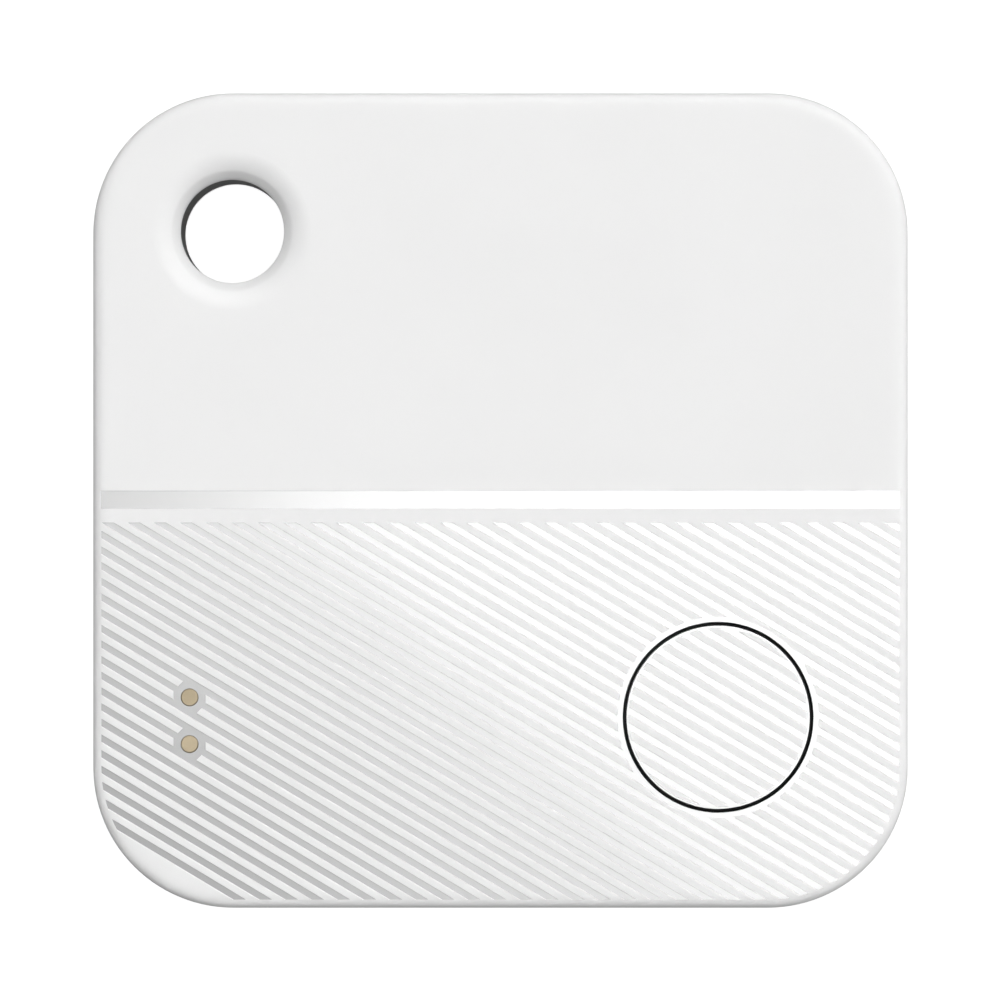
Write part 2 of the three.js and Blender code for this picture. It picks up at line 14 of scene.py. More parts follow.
import bpy
import numpy as np
from mathutils import Matrix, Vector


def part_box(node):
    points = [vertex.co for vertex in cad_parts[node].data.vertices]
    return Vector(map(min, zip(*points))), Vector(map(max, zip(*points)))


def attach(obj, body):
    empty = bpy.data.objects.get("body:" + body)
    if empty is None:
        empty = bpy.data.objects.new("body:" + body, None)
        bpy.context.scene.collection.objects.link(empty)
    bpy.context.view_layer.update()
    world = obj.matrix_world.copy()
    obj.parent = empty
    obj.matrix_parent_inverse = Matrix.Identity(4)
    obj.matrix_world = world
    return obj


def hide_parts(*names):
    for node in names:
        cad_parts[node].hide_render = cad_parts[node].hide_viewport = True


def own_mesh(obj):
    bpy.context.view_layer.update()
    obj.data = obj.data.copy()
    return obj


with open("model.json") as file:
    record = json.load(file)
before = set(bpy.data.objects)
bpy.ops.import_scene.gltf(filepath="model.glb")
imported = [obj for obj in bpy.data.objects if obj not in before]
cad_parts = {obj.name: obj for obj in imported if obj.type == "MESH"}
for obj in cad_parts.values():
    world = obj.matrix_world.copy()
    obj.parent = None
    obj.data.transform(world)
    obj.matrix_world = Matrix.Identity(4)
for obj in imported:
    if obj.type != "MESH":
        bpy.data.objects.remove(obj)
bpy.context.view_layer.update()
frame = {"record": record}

MM = 0.001
SHARP_ANGLE = 38.0  # degrees; edges that turn more are shaded sharp
FACE_WEIGHT = 100  # share of a face's area in the normals at its points, in per cent
TINY = 1e-9  # shorter lengths count as nothing
CORNER_SHARE = 0.4  # most of a side that the curve at one of its ends takes up
CORNER_HOLD = 1.2  # where the point beyond a curve lies, in lengths of the curve
LEAST_CORNER = 0.02  # smallest corner radius of a stacked outline
SMALL_ROUND = 48  # points round a small turned part
MIDDLE_ROUND = 64
LARGE_ROUND = 96
THROUGH = 1.0  # how far a cutting tool reaches beyond what it cuts

log = logging.getLogger("tracker_tag")
Number = float | int
Pair = tuple[float, float]
Profile = list[Pair] | np.ndarray


# ---- Shapes ---------------------------------------------------------------------------------------


@dataclass
class Surface:
    """Points in millimetres, the polygons that join them, and the finish number of each polygon."""

    points: np.ndarray
    faces: list[list[int]]
    finish: np.ndarray

    def moved(self, x: Number = 0.0, y: Number = 0.0, z: Number = 0.0) -> "Surface":
        """The same surface, shifted."""
        return Surface(self.points + np.array([x, y, z]), self.faces, self.finish)

    def turned(self, degrees: Number) -> "Surface":
        """The same surface, turned anticlockwise about the upright axis through the origin."""
        angle = math.radians(degrees)
        cosine, sine = math.cos(angle), math.sin(angle)
        matrix = np.array([[cosine, sine, 0.0], [-sine, cosine, 0.0], [0.0, 0.0, 1.0]])
        return Surface(self.points @ matrix, self.faces, self.finish)

    def finished(self, number: int) -> "Surface":
        """The same surface, all of it with one finish number."""
        return Surface(self.points, self.faces, np.full(len(self.faces), number))

    @staticmethod
    def together(parts: list["Surface"]) -> "Surface":
        """Several surfaces as one."""
        starts = np.cumsum([0] + [len(part.points) for part in parts])
        faces = [[start + i for i in face] for part, start in zip(parts, starts) for face in part.faces]
        points = np.concatenate([part.points for part in parts])
        return Surface(points, faces, np.concatenate([part.finish for part in parts]))


def grid_faces(rows: int, columns: int, closed: bool) -> np.ndarray:
    """Quads of a grid whose last column joins its first.

    Args:
        rows: number of rings.
        columns: points in each ring.
        closed: whether the last ring also joins the first.

    Returns:
        One row of four point numbers for each quad: (i, j), (i, j+1), (i+1, j+1), (i+1, j).
    """
    i = np.arange(rows if closed else rows - 1)[:, None]
    j = np.arange(columns)[None, :]
    up, along = (i + 1) % rows, (j + 1) % columns
    corners = (i * columns + j, i * columns + along, up * columns + along, up * columns + j)
    return np.stack(np.broadcast_arrays(*corners), -1).reshape(-1, 4)


def loft(rings: np.ndarray, closed: bool = False) -> Surface:
    """A skin over rings of points.

    Args:
        rings: array (rings, points, 3), each ring anticlockwise seen from the side that the rings advance to.
        closed: joins the last ring to the first; otherwise a flat face closes each end.

    Returns:
        The skin, its faces pointing out.
    """
    rows, columns = rings.shape[:2]
    faces = grid_faces(rows, columns, closed).tolist()
    if not closed:
        first = np.arange(columns)
        faces += [first[::-1].tolist(), (first + (rows - 1) * columns).tolist()]
    return Surface(rings.reshape(-1, 3), faces, np.zeros(len(faces), int))


def softened(profile: Profile, radius: Number, closed: bool = False, steps: int = 3) -> np.ndarray:
    """Rounds every corner of a profile.

    Each corner P becomes the curve (1-s)^2 A + 2 s (1-s) P + s^2 B between points A and B that lie `radius`
    back along its two sides, or two fifths of a short side. A point a little further out on each side keeps
    the flat beyond it flat when the surface is shaded smooth.

    Args:
        profile: the corner points.
        radius: how far from its corner a curve starts.
        closed: whether the profile is a loop; an open one keeps its two end points.
        steps: curve pieces at each corner.

    Returns:
        The points of the rounded profile.
    """
    corner = np.asarray(profile, float)
    back = np.roll(corner, 1, 0) - corner
    ahead = np.roll(corner, -1, 0) - corner
    back_length = np.linalg.norm(back, axis=1, keepdims=True)
    ahead_length = np.linalg.norm(ahead, axis=1, keepdims=True)
    start = back * np.minimum(radius / np.maximum(back_length, TINY), CORNER_SHARE)
    end = ahead * np.minimum(radius / np.maximum(ahead_length, TINY), CORNER_SHARE)
    s = np.linspace(0.0, 1.0, steps + 1)[None, :, None]
    curve = corner[:, None] + (1 - s) ** 2 * start[:, None] + s**2 * end[:, None]
    before = corner[:, None] + CORNER_HOLD * start[:, None]
    after = corner[:, None] + CORNER_HOLD * end[:, None]
    rounded = np.concatenate([before, curve, after], 1)
    if closed:
        return rounded.reshape(-1, corner.shape[1])
    return np.concatenate([corner[:1], rounded[1:-1].reshape(-1, corner.shape[1]), corner[-1:]])


def post(radius: Number, low: Number, high: Number) -> list[Pair]:
    """Profile of a plain round post: out along its foot, up its side and back to the axis."""
    return [(0, low), (radius, low), (radius, high), (0, high)]


def band(inner: Number, outer: Number, low: Number, high: Number) -> list[Pair]:
    """Profile of a plain ring, a closed loop."""
    return [(inner, low), (outer, low), (outer, high), (inner, high)]


def lathe(profile: Profile, segments: int = LARGE_ROUND, centre: Pair = (0.0, 0.0)) -> Surface:
    """Turns a profile about an upright axis.

    Args:
        profile: (radius, height) points, outside going up, from axis to axis or as a closed loop.
        segments: points round the axis.
        centre: where the axis stands.

    Returns:
        The turned surface: each point is (r cos a, r sin a, h) about the centre.
    """
    profile = np.asarray(profile, float)
    angle = np.arange(segments) * 2 * math.pi / segments
    on_axis = profile[:, 0] < TINY
    body = profile[~on_axis]
    radius, height = body[:, :1], body[:, 1:]
    flat = np.broadcast_to(height, (len(body), segments))
    rings = np.stack([radius * np.cos(angle), radius * np.sin(angle), flat], -1)
    if not on_axis.any():
        return loft(rings, closed=True).moved(*centre)
    count = len(body) * segments
    around = np.arange(segments)
    beside = (around + 1) % segments
    last = count - segments
    below = np.stack([np.full(segments, count), beside, around], -1)
    above = np.stack([np.full(segments, count + 1), last + around, last + beside], -1)
    poles = np.array([[0.0, 0.0, profile[0, 1]], [0.0, 0.0, profile[-1, 1]]])
    faces = grid_faces(len(body), segments, False).tolist() + below.tolist() + above.tolist()
    points = np.concatenate([rings.reshape(-1, 3), poles])
    return Surface(points, faces, np.zeros(len(faces), int)).moved(*centre)


def stacked(half: Pair, corner: Number, profile: Profile, closed: bool = False, steps: int = 5) -> Surface:
    """A stack of rounded rectangles, one for each (inset, height) pair of a profile.

    Args:
        half: half width and half depth of the outline.
        corner: radius of the outline's corners, which shrinks with the inset.
        profile: how far inside the outline each level lies, and its height.
        closed: whether the profile is a loop, as a ring's is.
        steps: pieces in each corner.

    Returns:
        The skin: each corner point is (side centre) + (corner - inset) (cos a, sin a).
    """
    profile = np.asarray(profile, float)
    inset, height = profile[:, 0][:, None, None], profile[:, 1][:, None, None]
    quarter = np.arange(4)[:, None]
    angle = (quarter + np.linspace(0.0, 1.0, steps + 1)[None, :]) * math.pi / 2
    middle = (quarter + 0.5) * math.pi / 2
    radius = np.maximum(corner - inset, LEAST_CORNER)
    x = np.sign(np.cos(middle)) * (half[0] - inset - radius) + radius * np.cos(angle)
    y = np.sign(np.sin(middle)) * (half[1] - inset - radius) + radius * np.sin(angle)
    rings = np.stack([x, y, np.broadcast_to(height, x.shape)], -1)
    return loft(rings.reshape(len(profile), -1, 3), closed)


def brick(half: Pair, low: Number, high: Number, corner: Number = 0.1, soft: Number = 0.04) -> Surface:
    """A flat block with rounded upright corners and soft top and bottom edges."""
    core = min(half) * 0.5
    profile = softened([(core, low), (0.0, low), (0.0, high), (core, high)], soft)
    return stacked(half, corner, profile, steps=3)


def strip(path: list[Pair], thickness: Number, width: Number, bend: Number = 0.3) -> Surface:
    """A bent sheet-metal strip that runs along X.

    Args:
        path: (x, height) corners of the middle of its thickness.
        thickness: of the sheet.
        width: across the strip, along Y.
        bend: how far from each corner the bend starts.

    Returns:
        A rounded section carried along the path: point = path + u (across) + v (path normal).
    """
    line = softened(path, bend, steps=5)
    tangent = np.gradient(line, axis=0)
    tangent /= np.linalg.norm(tangent, axis=1, keepdims=True)
    edge = thickness * 0.3
    section = stacked((width / 2, thickness / 2), edge, [(0.0, 0.0)], steps=2).points
    across, normal = section[None, :, 0], section[None, :, 1]
    x = line[:, :1] - normal * tangent[:, 1:]
    z = line[:, 1:] + normal * tangent[:, :1]
    return loft(np.stack([x, np.broadcast_to(across, x.shape), z], -1))


# ---- Shader trees ---------------------------------------------------------------------------------


class Value:
    """A number or a socket of a shader tree, with the arithmetic that adds Math nodes."""

    def __init__(self, shader: "Shader", socket: Any) -> None:
        """Keeps the tree and its socket."""
        self.shader = shader
        self.socket = socket

    def _maths(self, operation: str, first: Any, second: Any) -> "Value":
        """One Math node."""
        node = self.shader.node("ShaderNodeMath", {"operation": operation}, {0: first, 1: second})
        return Value(self.shader, node.outputs[0])

    def __add__(self, other: Any) -> "Value":
        """self + other"""
        return self._maths("ADD", self, other)

    def __radd__(self, other: Any) -> "Value":
        """other + self"""
        return self._maths("ADD", other, self)

    def __sub__(self, other: Any) -> "Value":
        """self - other"""
        return self._maths("SUBTRACT", self, other)

    def __rsub__(self, other: Any) -> "Value":
        """other - self"""
        return self._maths("SUBTRACT", other, self)

    def __mul__(self, other: Any) -> "Value":
        """self * other"""
        return self._maths("MULTIPLY", self, other)

    def __rmul__(self, other: Any) -> "Value":
        """other * self"""
        return self._maths("MULTIPLY", other, self)

    def __truediv__(self, other: Any) -> "Value":
        """self / other"""
        return self._maths("DIVIDE", self, other)

    def __pow__(self, other: Any) -> "Value":
        """self to the power of other"""
        return self._maths("POWER", self, other)

    def sine(self) -> "Value":
        """The sine of a value in radians."""
        return self._maths("SINE", self, 0.0)

    def at_least(self, other: Any) -> "Value":
        """self, or other where that is larger."""
        return self._maths("MAXIMUM", self, other)

    def fraction(self) -> "Value":
        """What is left of self above the whole number below it."""
        return self._maths("FRACT", self, 0.0)

    def snapped(self, step: Number) -> "Value":
        """The multiple of a step at or below self."""
        return self._maths("SNAP", self, step)

    def less_than(self, other: Any) -> "Value":
        """1 where self is below other."""
        return self._maths("LESS_THAN", self, other)

    def greater_than(self, other: Any) -> "Value":
        """1 where self is above other."""
        return self._maths("GREATER_THAN", self, other)

    def ramp(self, start: Number, end: Number, low: Number = 0.0, high: Number = 1.0,
             smooth: bool = False) -> "Value":
        """Goes from low to high as self goes from start to end, and is clamped outside."""
        kind = "SMOOTHSTEP" if smooth else "LINEAR"
        settings = {"interpolation_type": kind, "clamp": True}
        inputs = {"Value": self, "From Min": start, "From Max": end, "To Min": low, "To Max": high}
        return Value(self.shader, self.shader.node("ShaderNodeMapRange", settings, inputs).outputs[0])


class Shader:
    """A node tree under construction."""

    def __init__(self, tree: bpy.types.NodeTree) -> None:
        """Empties the tree."""
        self.tree = tree
        tree.nodes.clear()

    def node(self, kind: str, settings: dict[str, Any] | None = None,
             inputs: dict[str | int, Any] | None = None) -> bpy.types.Node:
        """Adds any node.

        Args:
            kind: the node's type.
            settings: its properties, set first.
            inputs: a value, a Value or a socket for each input, by name or number.

        Returns:
            The node.
        """
        node = self.tree.nodes.new(kind)
        for name, value in (settings or {}).items():
            setattr(node, name, value)
        for name, value in (inputs or {}).items():
            self.feed(node.inputs[name], value)
        return node

    def feed(self, target: bpy.types.NodeSocket, value: Any) -> None:
        """Links or sets one input."""
        source = value.socket if isinstance(value, Value) else value
        if isinstance(source, bpy.types.NodeSocket):
            self.tree.links.new(source, target)
        else:
            target.default_value = source

    def place(self) -> bpy.types.NodeSocket:
        """Object coordinates, in metres."""
        return self.node("ShaderNodeTexCoord").outputs["Object"]

    def axes(self, vector: bpy.types.NodeSocket) -> tuple[Value, Value, Value]:
        """The three parts of a vector."""
        parts = self.node("ShaderNodeSeparateXYZ", None, {0: vector}).outputs
        return Value(self, parts[0]), Value(self, parts[1]), Value(self, parts[2])

    def noise(self, size: Number, detail: Number = 2.0, stretch: tuple = (1.0, 1.0, 1.0)) -> Value:
        """Noise whose blots are about `size` millimetres across, stretched along the axes."""
        scale = tuple(1.0 / part for part in stretch)
        place = self.node("ShaderNodeMapping", None, {"Vector": self.place(), "Scale": scale})
        inputs = {"Vector": place.outputs[0], "Scale": 1.0 / (size * MM), "Detail": detail}
        return Value(self, self.node("ShaderNodeTexNoise", None, inputs).outputs[0])

    def cells(self, size: Number) -> Value:
        """Distance to the nearest of scattered points that lie about `size` millimetres apart."""
        inputs = {"Vector": self.place(), "Scale": 1.0 / (size * MM)}
        return Value(self, self.node("ShaderNodeTexVoronoi", None, inputs).outputs["Distance"])

    def mixed(self, factor: Any, first: Any, second: Any) -> bpy.types.NodeSocket:
        """A colour between two colours."""
        inputs = {0: factor, 6: first, 7: second}
        return self.node("ShaderNodeMix", {"data_type": "RGBA"}, inputs).outputs[2]

    def noise_at(self, x: Value, y: Value | float, size: Number, detail: Number) -> Value:
        """Noise read at the point (x, y, 0), its blots about `size` millimetres across."""
        point = self.node("ShaderNodeCombineXYZ", None, {0: x, 1: y, 2: 0.0}).outputs[0]
        inputs = {"Vector": point, "Scale": 1.0 / (size * MM), "Detail": detail}
        return Value(self, self.node("ShaderNodeTexNoise", None, inputs).outputs[0])

    def bump(self, height: Value, depth: Number, strength: Number = 1.0) -> bpy.types.NodeSocket:
        """A normal tilted by a height that spans `depth` millimetres."""
        inputs = {"Height": height, "Distance": depth * MM, "Strength": strength}
        return self.node("ShaderNodeBump", None, inputs).outputs[0]

    def output(self, kind: str, shown: bpy.types.Node) -> None:
        """Links a shader to the tree's output node."""
        self.tree.links.new(shown.outputs[0], self.node(kind).inputs[0])


def colour(hexadecimal: str) -> tuple[float, float, float, float]:
    """A colour written as six hexadecimal digits, as linear red, green, blue and 1.

    Each part goes through the standard screen curve: part / 12.92 near black, and above that
    ((part + 0.055) / 1.055)^2.4.

    Args:
        hexadecimal: the six digits.

    Returns:
        Red, green, blue and 1.
    """
    parts = [int(hexadecimal[i:i + 2], 16) / 255 for i in (0, 2, 4)]
    linear = [part / 12.92 if part <= 0.04045 else ((part + 0.055) / 1.055) ** 2.4 for part in parts]
    return linear[0], linear[1], linear[2], 1.0


# ---- Finishes -------------------------------------------------------------------------------------

MEAN = 0.5  # the value that noise swings about


@dataclass(frozen=True)
class Finish:
    """What every finish has: a name, a colour, a gloss and the socket values that are the same all over."""

    name: str
    tint: str
    roughness: float
    metallic: float = 0.0
    fixed: tuple[tuple[str, float], ...] = ()

    def material(self) -> bpy.types.Material:
        """The finish's material, made the first time it is asked for.

        Returns:
            The material, with every even value set on the shader and the uneven ones added by `dress`.
        """
        title = f"fine_{self.name}"
        found = bpy.data.materials.get(title)
        if found is not None:
            return found
        material = bpy.data.materials.new(title)
        material.use_nodes = True
        material.diffuse_color = colour(self.tint)
        shader = Shader(material.node_tree)
        surface = shader.node("ShaderNodeBsdfPrincipled", None, {
            "Base Color": colour(self.tint), "Roughness": self.roughness, "Metallic": self.metallic,
        })
        for name, value in self.fixed:
            surface.inputs[name].default_value = value
        shader.output("ShaderNodeOutputMaterial", surface)
        self.dress(shader, surface)
        return material

    def dress(self, shader: Shader, surface: bpy.types.Node) -> None:
        """Adds what varies over the surface."""
        raise NotImplementedError

    def put(self, shader: Shader, surface: bpy.types.Node, amount: Value, second: str, gloss: Value,
            bump: bpy.types.NodeSocket) -> None:
        """Feeds the three sockets that vary.

        Args:
            shader: the tree.
            surface: its Principled node.
            amount: how far the tint goes towards the second colour.
            second: that colour.
            gloss: the roughness.
            bump: the tilted normal.
        """
        shader.feed(surface.inputs["Base Color"], shader.mixed(amount, colour(self.tint), colour(second)))
        shader.feed(surface.inputs["Roughness"], gloss)
        shader.feed(surface.inputs["Normal"], bump)


@dataclass(frozen=True)
class Moulded(Finish):
    """Injection-moulded plastic: spark-eroded grain, slightly uneven gloss and hardly any change of tone."""

    grain: float = 0.09
    depth: float = 0.002
    shade: str = "e6e6e6"
    spread: float = 0.06
    cloud: float = 7.0
    cloud_edges: Pair = (0.35, 0.75)
    cloud_strength: float = 0.25

    def dress(self, shader: Shader, surface: bpy.types.Node) -> None:
        """Grain as bump, slow noise in the gloss and in the tone."""
        fine = shader.noise(self.grain, 3.0)
        slow = shader.noise(self.cloud, 2.0)
        gloss = self.roughness + (slow - MEAN) * self.spread + (fine - MEAN) * self.spread
        amount = slow.ramp(*self.cloud_edges) * self.cloud_strength
        self.put(shader, surface, amount, self.shade, gloss, shader.bump(fine, self.depth))


@dataclass(frozen=True)
class Metal(Finish):
    """Metal with tool marks: rings round an axis, or lines along one direction, over uneven polish."""

    centre: Pair | None = None
    lines: float = 0.05
    depth: float = 0.0008
    stain: str = "8d8a84"
    draw: float = 20.0
    cloud: float = 3.0
    cloud_edges: Pair = (0.45, 0.8)
    cloud_strength: float = 0.35
    cloud_gloss: float = 0.15
    mark_gloss: float = 0.1

    def marks(self, shader: Shader) -> Value:
        """Rings are noise of the distance from the centre; lines are noise drawn out along X."""
        if self.centre is None:
            return shader.noise(self.lines, 2.0, (self.draw, 1.0, 1.0))
        x, y, _ = shader.axes(shader.place())
        across, along = x - self.centre[0] * MM, y - self.centre[1] * MM
        distance = (across * across + along * along) ** 0.5
        return shader.noise_at(distance, 0.0, self.lines, 2.0)

    def dress(self, shader: Shader, surface: bpy.types.Node) -> None:
        """Tool marks in the gloss and as bump, slow noise in the gloss and as stain."""
        marks = self.marks(shader)
        slow = shader.noise(self.cloud, 3.0)
        gloss = self.roughness + (slow - MEAN) * self.cloud_gloss + (marks - MEAN) * self.mark_gloss
        amount = slow.ramp(*self.cloud_edges) * self.cloud_strength
        self.put(shader, surface, amount, self.stain, gloss, shader.bump(marks, self.depth))


@dataclass(frozen=True)
class Porous(Finish):
    """Foam, felt and pressed powder: open cells of a given size."""

    cell: float = 0.25
    depth: float = 0.05
    # The colour at the dented middle of each cell: painted shade in the pits.
    pit_shade: str = "0b0b0c"
    fine_share: float = 0.4
    pit_edge: float = 0.5
    pit_shade_strength: float = 0.6
    fine_strength: float = 0.2
    fine_gloss: float = 0.1
    fine_height: float = 0.5
    relief: float = 0.8

    def dress(self, shader: Shader, surface: bpy.types.Node) -> None:
        """Cells dent the surface at their middles and darken the colour there, as painted shade in the pits.
        """
        cells = shader.cells(self.cell)
        fine = shader.noise(self.cell * self.fine_share, 3.0)
        amount = cells.ramp(self.pit_edge, 0.0) * self.pit_shade_strength + fine * self.fine_strength
        bump = shader.bump(cells + fine * self.fine_height, self.depth, self.relief)
        self.put(shader, surface, amount, self.pit_shade, self.roughness - fine * self.fine_gloss, bump)


@dataclass(frozen=True)
class Laminate(Finish):
    """Solder mask over glass cloth: the weave shows faintly, and copper tracks lie under the mask."""

    weave: float = 0.35
    track: str = "1f5a3d"
    pitch: float = 0.62
    track_width: float = 0.4
    stretch: float = 3.1
    bare_share: float = 0.53
    track_strength: float = 0.8
    grain: float = 0.4
    grain_strength: float = 0.1
    grain_gloss: float = 0.12
    cloth_height: float = 0.3
    depth: float = 0.004

    def tracks(self, shader: Shader, across: Value, along: Value) -> Value:
        """Parallel tracks along one axis, each present on some stretches only.

        The fraction of (across / pitch) gives a track's edges. Noise read at the corners of a grid of track
        pitches and stretches says where there is copper.

        Args:
            shader: the tree.
            across: the coordinate that counts the tracks.
            along: the coordinate that they run along.

        Returns:
            1 on a track and 0 beside it.
        """
        pitch = self.pitch * MM
        edges = (across / pitch).fraction().less_than(self.track_width)
        noise = shader.noise_at(across.snapped(pitch), along.snapped(self.stretch * MM), self.pitch * 2, 1.0)
        return edges * noise.greater_than(self.bare_share)

    def dress(self, shader: Shader, surface: bpy.types.Node) -> None:
        """The weave is a product of two sines; tracks run along X and along Y."""
        x, y, _ = shader.axes(shader.place())
        turns = 2 * math.pi / (self.weave * MM)
        cloth = (x * turns).sine() * (y * turns).sine()
        tracks = self.tracks(shader, y, x).at_least(self.tracks(shader, x, y))
        grain = shader.noise(self.grain, 2.0)
        gloss = self.roughness + (grain - MEAN) * self.grain_gloss
        amount = tracks * self.track_strength + grain * self.grain_strength
        self.put(shader, surface, amount, self.track, gloss,
                 shader.bump(cloth * self.cloth_height + tracks, self.depth))


@dataclass(frozen=True)
class Fired(Finish):
    """Fired ceramic: fine speckle and a slightly wavy skin."""

    speck: str = "a39c8d"
    speck_size: float = 0.06
    speck_edges: Pair = (0.55, 0.8)
    speck_strength: float = 0.4
    wave: float = 0.9
    wave_gloss: float = 0.15
    depth: float = 0.003

    def dress(self, shader: Shader, surface: bpy.types.Node) -> None:
        """Specks are the peaks of fine noise."""
        fine = shader.noise(self.speck_size, 4.0)
        slow = shader.noise(self.wave, 2.0)
        gloss = self.roughness + (slow - MEAN) * self.wave_gloss
        amount = fine.ramp(*self.speck_edges) * self.speck_strength
        self.put(shader, surface, amount, self.speck, gloss, shader.bump(fine + slow, self.depth))


GLOSS = (("IOR", 1.5),)


class Look(Enum):
    """Every finish on the tag."""

    SHELL = Moulded("matte_white_plastic", "e5e5e5", 0.55, fixed=GLOSS, shade="e0e0e0")
    POLISHED = Moulded("polished_white_plastic", "a4a4a4", 0.07, fixed=GLOSS, grain=0.6, depth=0.0002,
                       shade="a0a0a0", spread=0.02)
    INSIDE = Moulded("moulded_inside_plastic", "e4e4e4", 0.42, fixed=GLOSS, grain=0.3, depth=0.0015)
    SLEEVE = Moulded("dark_sleeve_plastic", "2c2c2d", 0.4, fixed=GLOSS, grain=0.2, depth=0.001,
                     shade="232324")
    SILICONE = Moulded("black_silicone", "0d0d0e", 0.62, fixed=(("IOR", 1.41),), grain=0.12, depth=0.003,
                       shade="19191a")
    HOLDER = Moulded("black_glass_filled_plastic", "19191b", 0.5, fixed=GLOSS, grain=0.16, depth=0.004,
                     shade="232325")
    RESIN = Moulded("chip_resin", "17181a", 0.5, fixed=GLOSS, grain=0.05, depth=0.002, shade="222325")
    GOLD = Metal("gold_plate", "ab9e86", 0.55, 1.0, lines=0.12, depth=0.001, stain="8f866d")
    CELL = Metal("turned_cell_steel", "b9bbbd", 0.24, 1.0, centre=(3.0, 4.0), lines=0.06, stain="a2a19e")
    SPRING = Metal("spring_steel", "b4b4b2", 0.28, 1.0, stain="8f8b84")
    SHIELD = Metal("shield_steel", "bdbdbb", 0.3, 1.0, lines=0.08, stain="9a9893")
    SCREW = Metal("zinc_screw_steel", "8f9194", 0.33, 1.0, lines=0.07, stain="6f6c66")
    TIN = Metal("tinned_end", "c8c9ca", 0.32, 1.0, lines=0.15, depth=0.002, stain="a5a5a4")
    COPPER = Metal("enamelled_copper", "a8632f", 0.3, 1.0, lines=0.1, stain="8a4d22")
    BRASS = Metal("brass_disc", "c8a552", 0.34, 1.0, centre=(-6.0, -10.8), lines=0.07, stain="a07f38")
    LITHIUM = Metal("lithium_metal", "a9adb2", 0.45, 1.0, lines=0.3, depth=0.003, stain="7d8288")
    FOAM = Porous("closed_cell_foam", "2e2f32", 0.95, cell=0.28)
    CATHODE = Porous("pressed_cathode_mix", "2b2b2d", 0.9, cell=0.12, depth=0.02)
    FELT = Porous("separator_felt", "e9e7e0", 0.92, cell=0.2, depth=0.03, pit_shade="c9c6bb")
    BOARD = Laminate("green_board_laminate", "12402c", 0.35, fixed=GLOSS)
    CERAMIC = Fired("white_ceramic", "d9d4c6", 0.5)
    CAPACITOR = Fired("brown_ceramic", "9b7d5a", 0.45, speck="6d5439")

    def material(self) -> bpy.types.Material:
        """The material of this look."""
        return self.value.material()


# ---- The frame ------------------------------------------------------------------------------------


@dataclass(frozen=True)
class Place:
    """Where a CAD node lies, in millimetres."""

    low: np.ndarray
    high: np.ndarray

    @classmethod
    def of(cls, node: str) -> "Place":
        """The box of a node."""
        low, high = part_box(node)
        return cls(np.array(low) / MM, np.array(high) / MM)

    @property
    def middle(self) -> Pair:
        """The middle of the box, seen from above."""
        return float(self.low[0] + self.high[0]) / 2, float(self.low[1] + self.high[1]) / 2

    @property
    def half(self) -> Pair:
        """Half the width and half the depth."""
        return float(self.high[0] - self.low[0]) / 2, float(self.high[1] - self.low[1]) / 2

    @property
    def bottom(self) -> float:
        """The lowest height."""
        return float(self.low[2])

    @property
    def top(self) -> float:
        """The highest height."""
        return float(self.high[2])


def body_of(node: str) -> str:
    """The body that a CAD node rides on."""
    bodies = frame["record"]["behaviour"]["bodies"]
    return next(body for body, members in bodies.items() if node in members)


def slot_of(node: str) -> str:
    """The record's material slot of a CAD node."""
    subparts = frame["record"]["subparts"]
    return next(part["material_slot"] for part in subparts if part["node"] == node)


def mesh_of(name: str, surface: Surface, looks: list[Look]) -> bpy.types.Object:
    """An object made of a surface.

    Args:
        name: the object's name.
        surface: its points and polygons.
        looks: the finishes that the surface's finish numbers count.

    Returns:
        The object, still in millimetres.
    """
    mesh = bpy.data.meshes.new(name)
    mesh.from_pydata(surface.points.tolist(), [], surface.faces)
    mesh.polygons.foreach_set("material_index", surface.finish.astype(np.int32))
    for look in looks:
        mesh.materials.append(look.material())
    mesh.update()
    made = bpy.data.objects.new(name, mesh)
    bpy.context.scene.collection.objects.link(made)
    return made


def apply_modifiers(made: bpy.types.Object) -> None:
    """Gives an object the mesh that its modifiers make of it."""
    graph = bpy.context.evaluated_depsgraph_get()
    mesh = bpy.data.meshes.new_from_object(made.evaluated_get(graph))
    made.modifiers.clear()
    old = made.data
    made.data = mesh
    bpy.data.meshes.remove(old)


def shade(made: bpy.types.Object) -> None:
    """Turns a finished mesh to metres and shades it smooth between its sharp edges.

    The normal at each point follows the largest faces round it.

    Args:
        made: the object, its mesh in millimetres.
    """
    made.data.transform(Matrix.Scale(MM, 4))
    made.data.shade_smooth()
    made.data.set_sharp_from_angle(angle=math.radians(SHARP_ANGLE))
    modifier = made.modifiers.new("flat_faces", "WEIGHTED_NORMAL")
    modifier.keep_sharp = True
    modifier.weight = FACE_WEIGHT
    apply_modifiers(made)


def settle(made: bpy.types.Object, node: str, body: str | None = None) -> bpy.types.Object:
    """Shades a finished mesh, puts it on its body and lets it stand for its CAD node."""
    shade(made)
    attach(made, body or body_of(node))
    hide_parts(node)
    slot_of(node)
    log.info("%-28s %6d faces, rides on %s", made.name, len(made.data.polygons), body or body_of(node))
    return made


def piece(node: str, surface: Surface, *looks: Look, name: str = "",
          body: str | None = None) -> bpy.types.Object:
    """A finished piece that stands for a CAD node."""
    return settle(mesh_of(name or f"{node}_surface", surface, list(looks)), node, body)


def disc(node: str, look: Look, soft: Number, steps: int = 3,
         segments: int = LARGE_ROUND) -> bpy.types.Object:
    """A plain round piece that fills the box of its CAD node, with rounded edges."""
    place = Place.of(node)
    profile = softened(post(place.half[0], place.bottom, place.top), soft, steps=steps)
    return piece(node, lathe(profile, segments, place.middle), look)


def detail(name: str, surface: Surface, node: str, slot: str, look: Look) -> bpy.types.Object:
    """A small piece that rides with a CAD node but stands for none."""
    made = mesh_of(name, surface, [look])
    shade(made)
    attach(made, body_of(node))
    log.info("%-28s %6d faces, rides with %s", name, len(made.data.polygons), node)
    return made


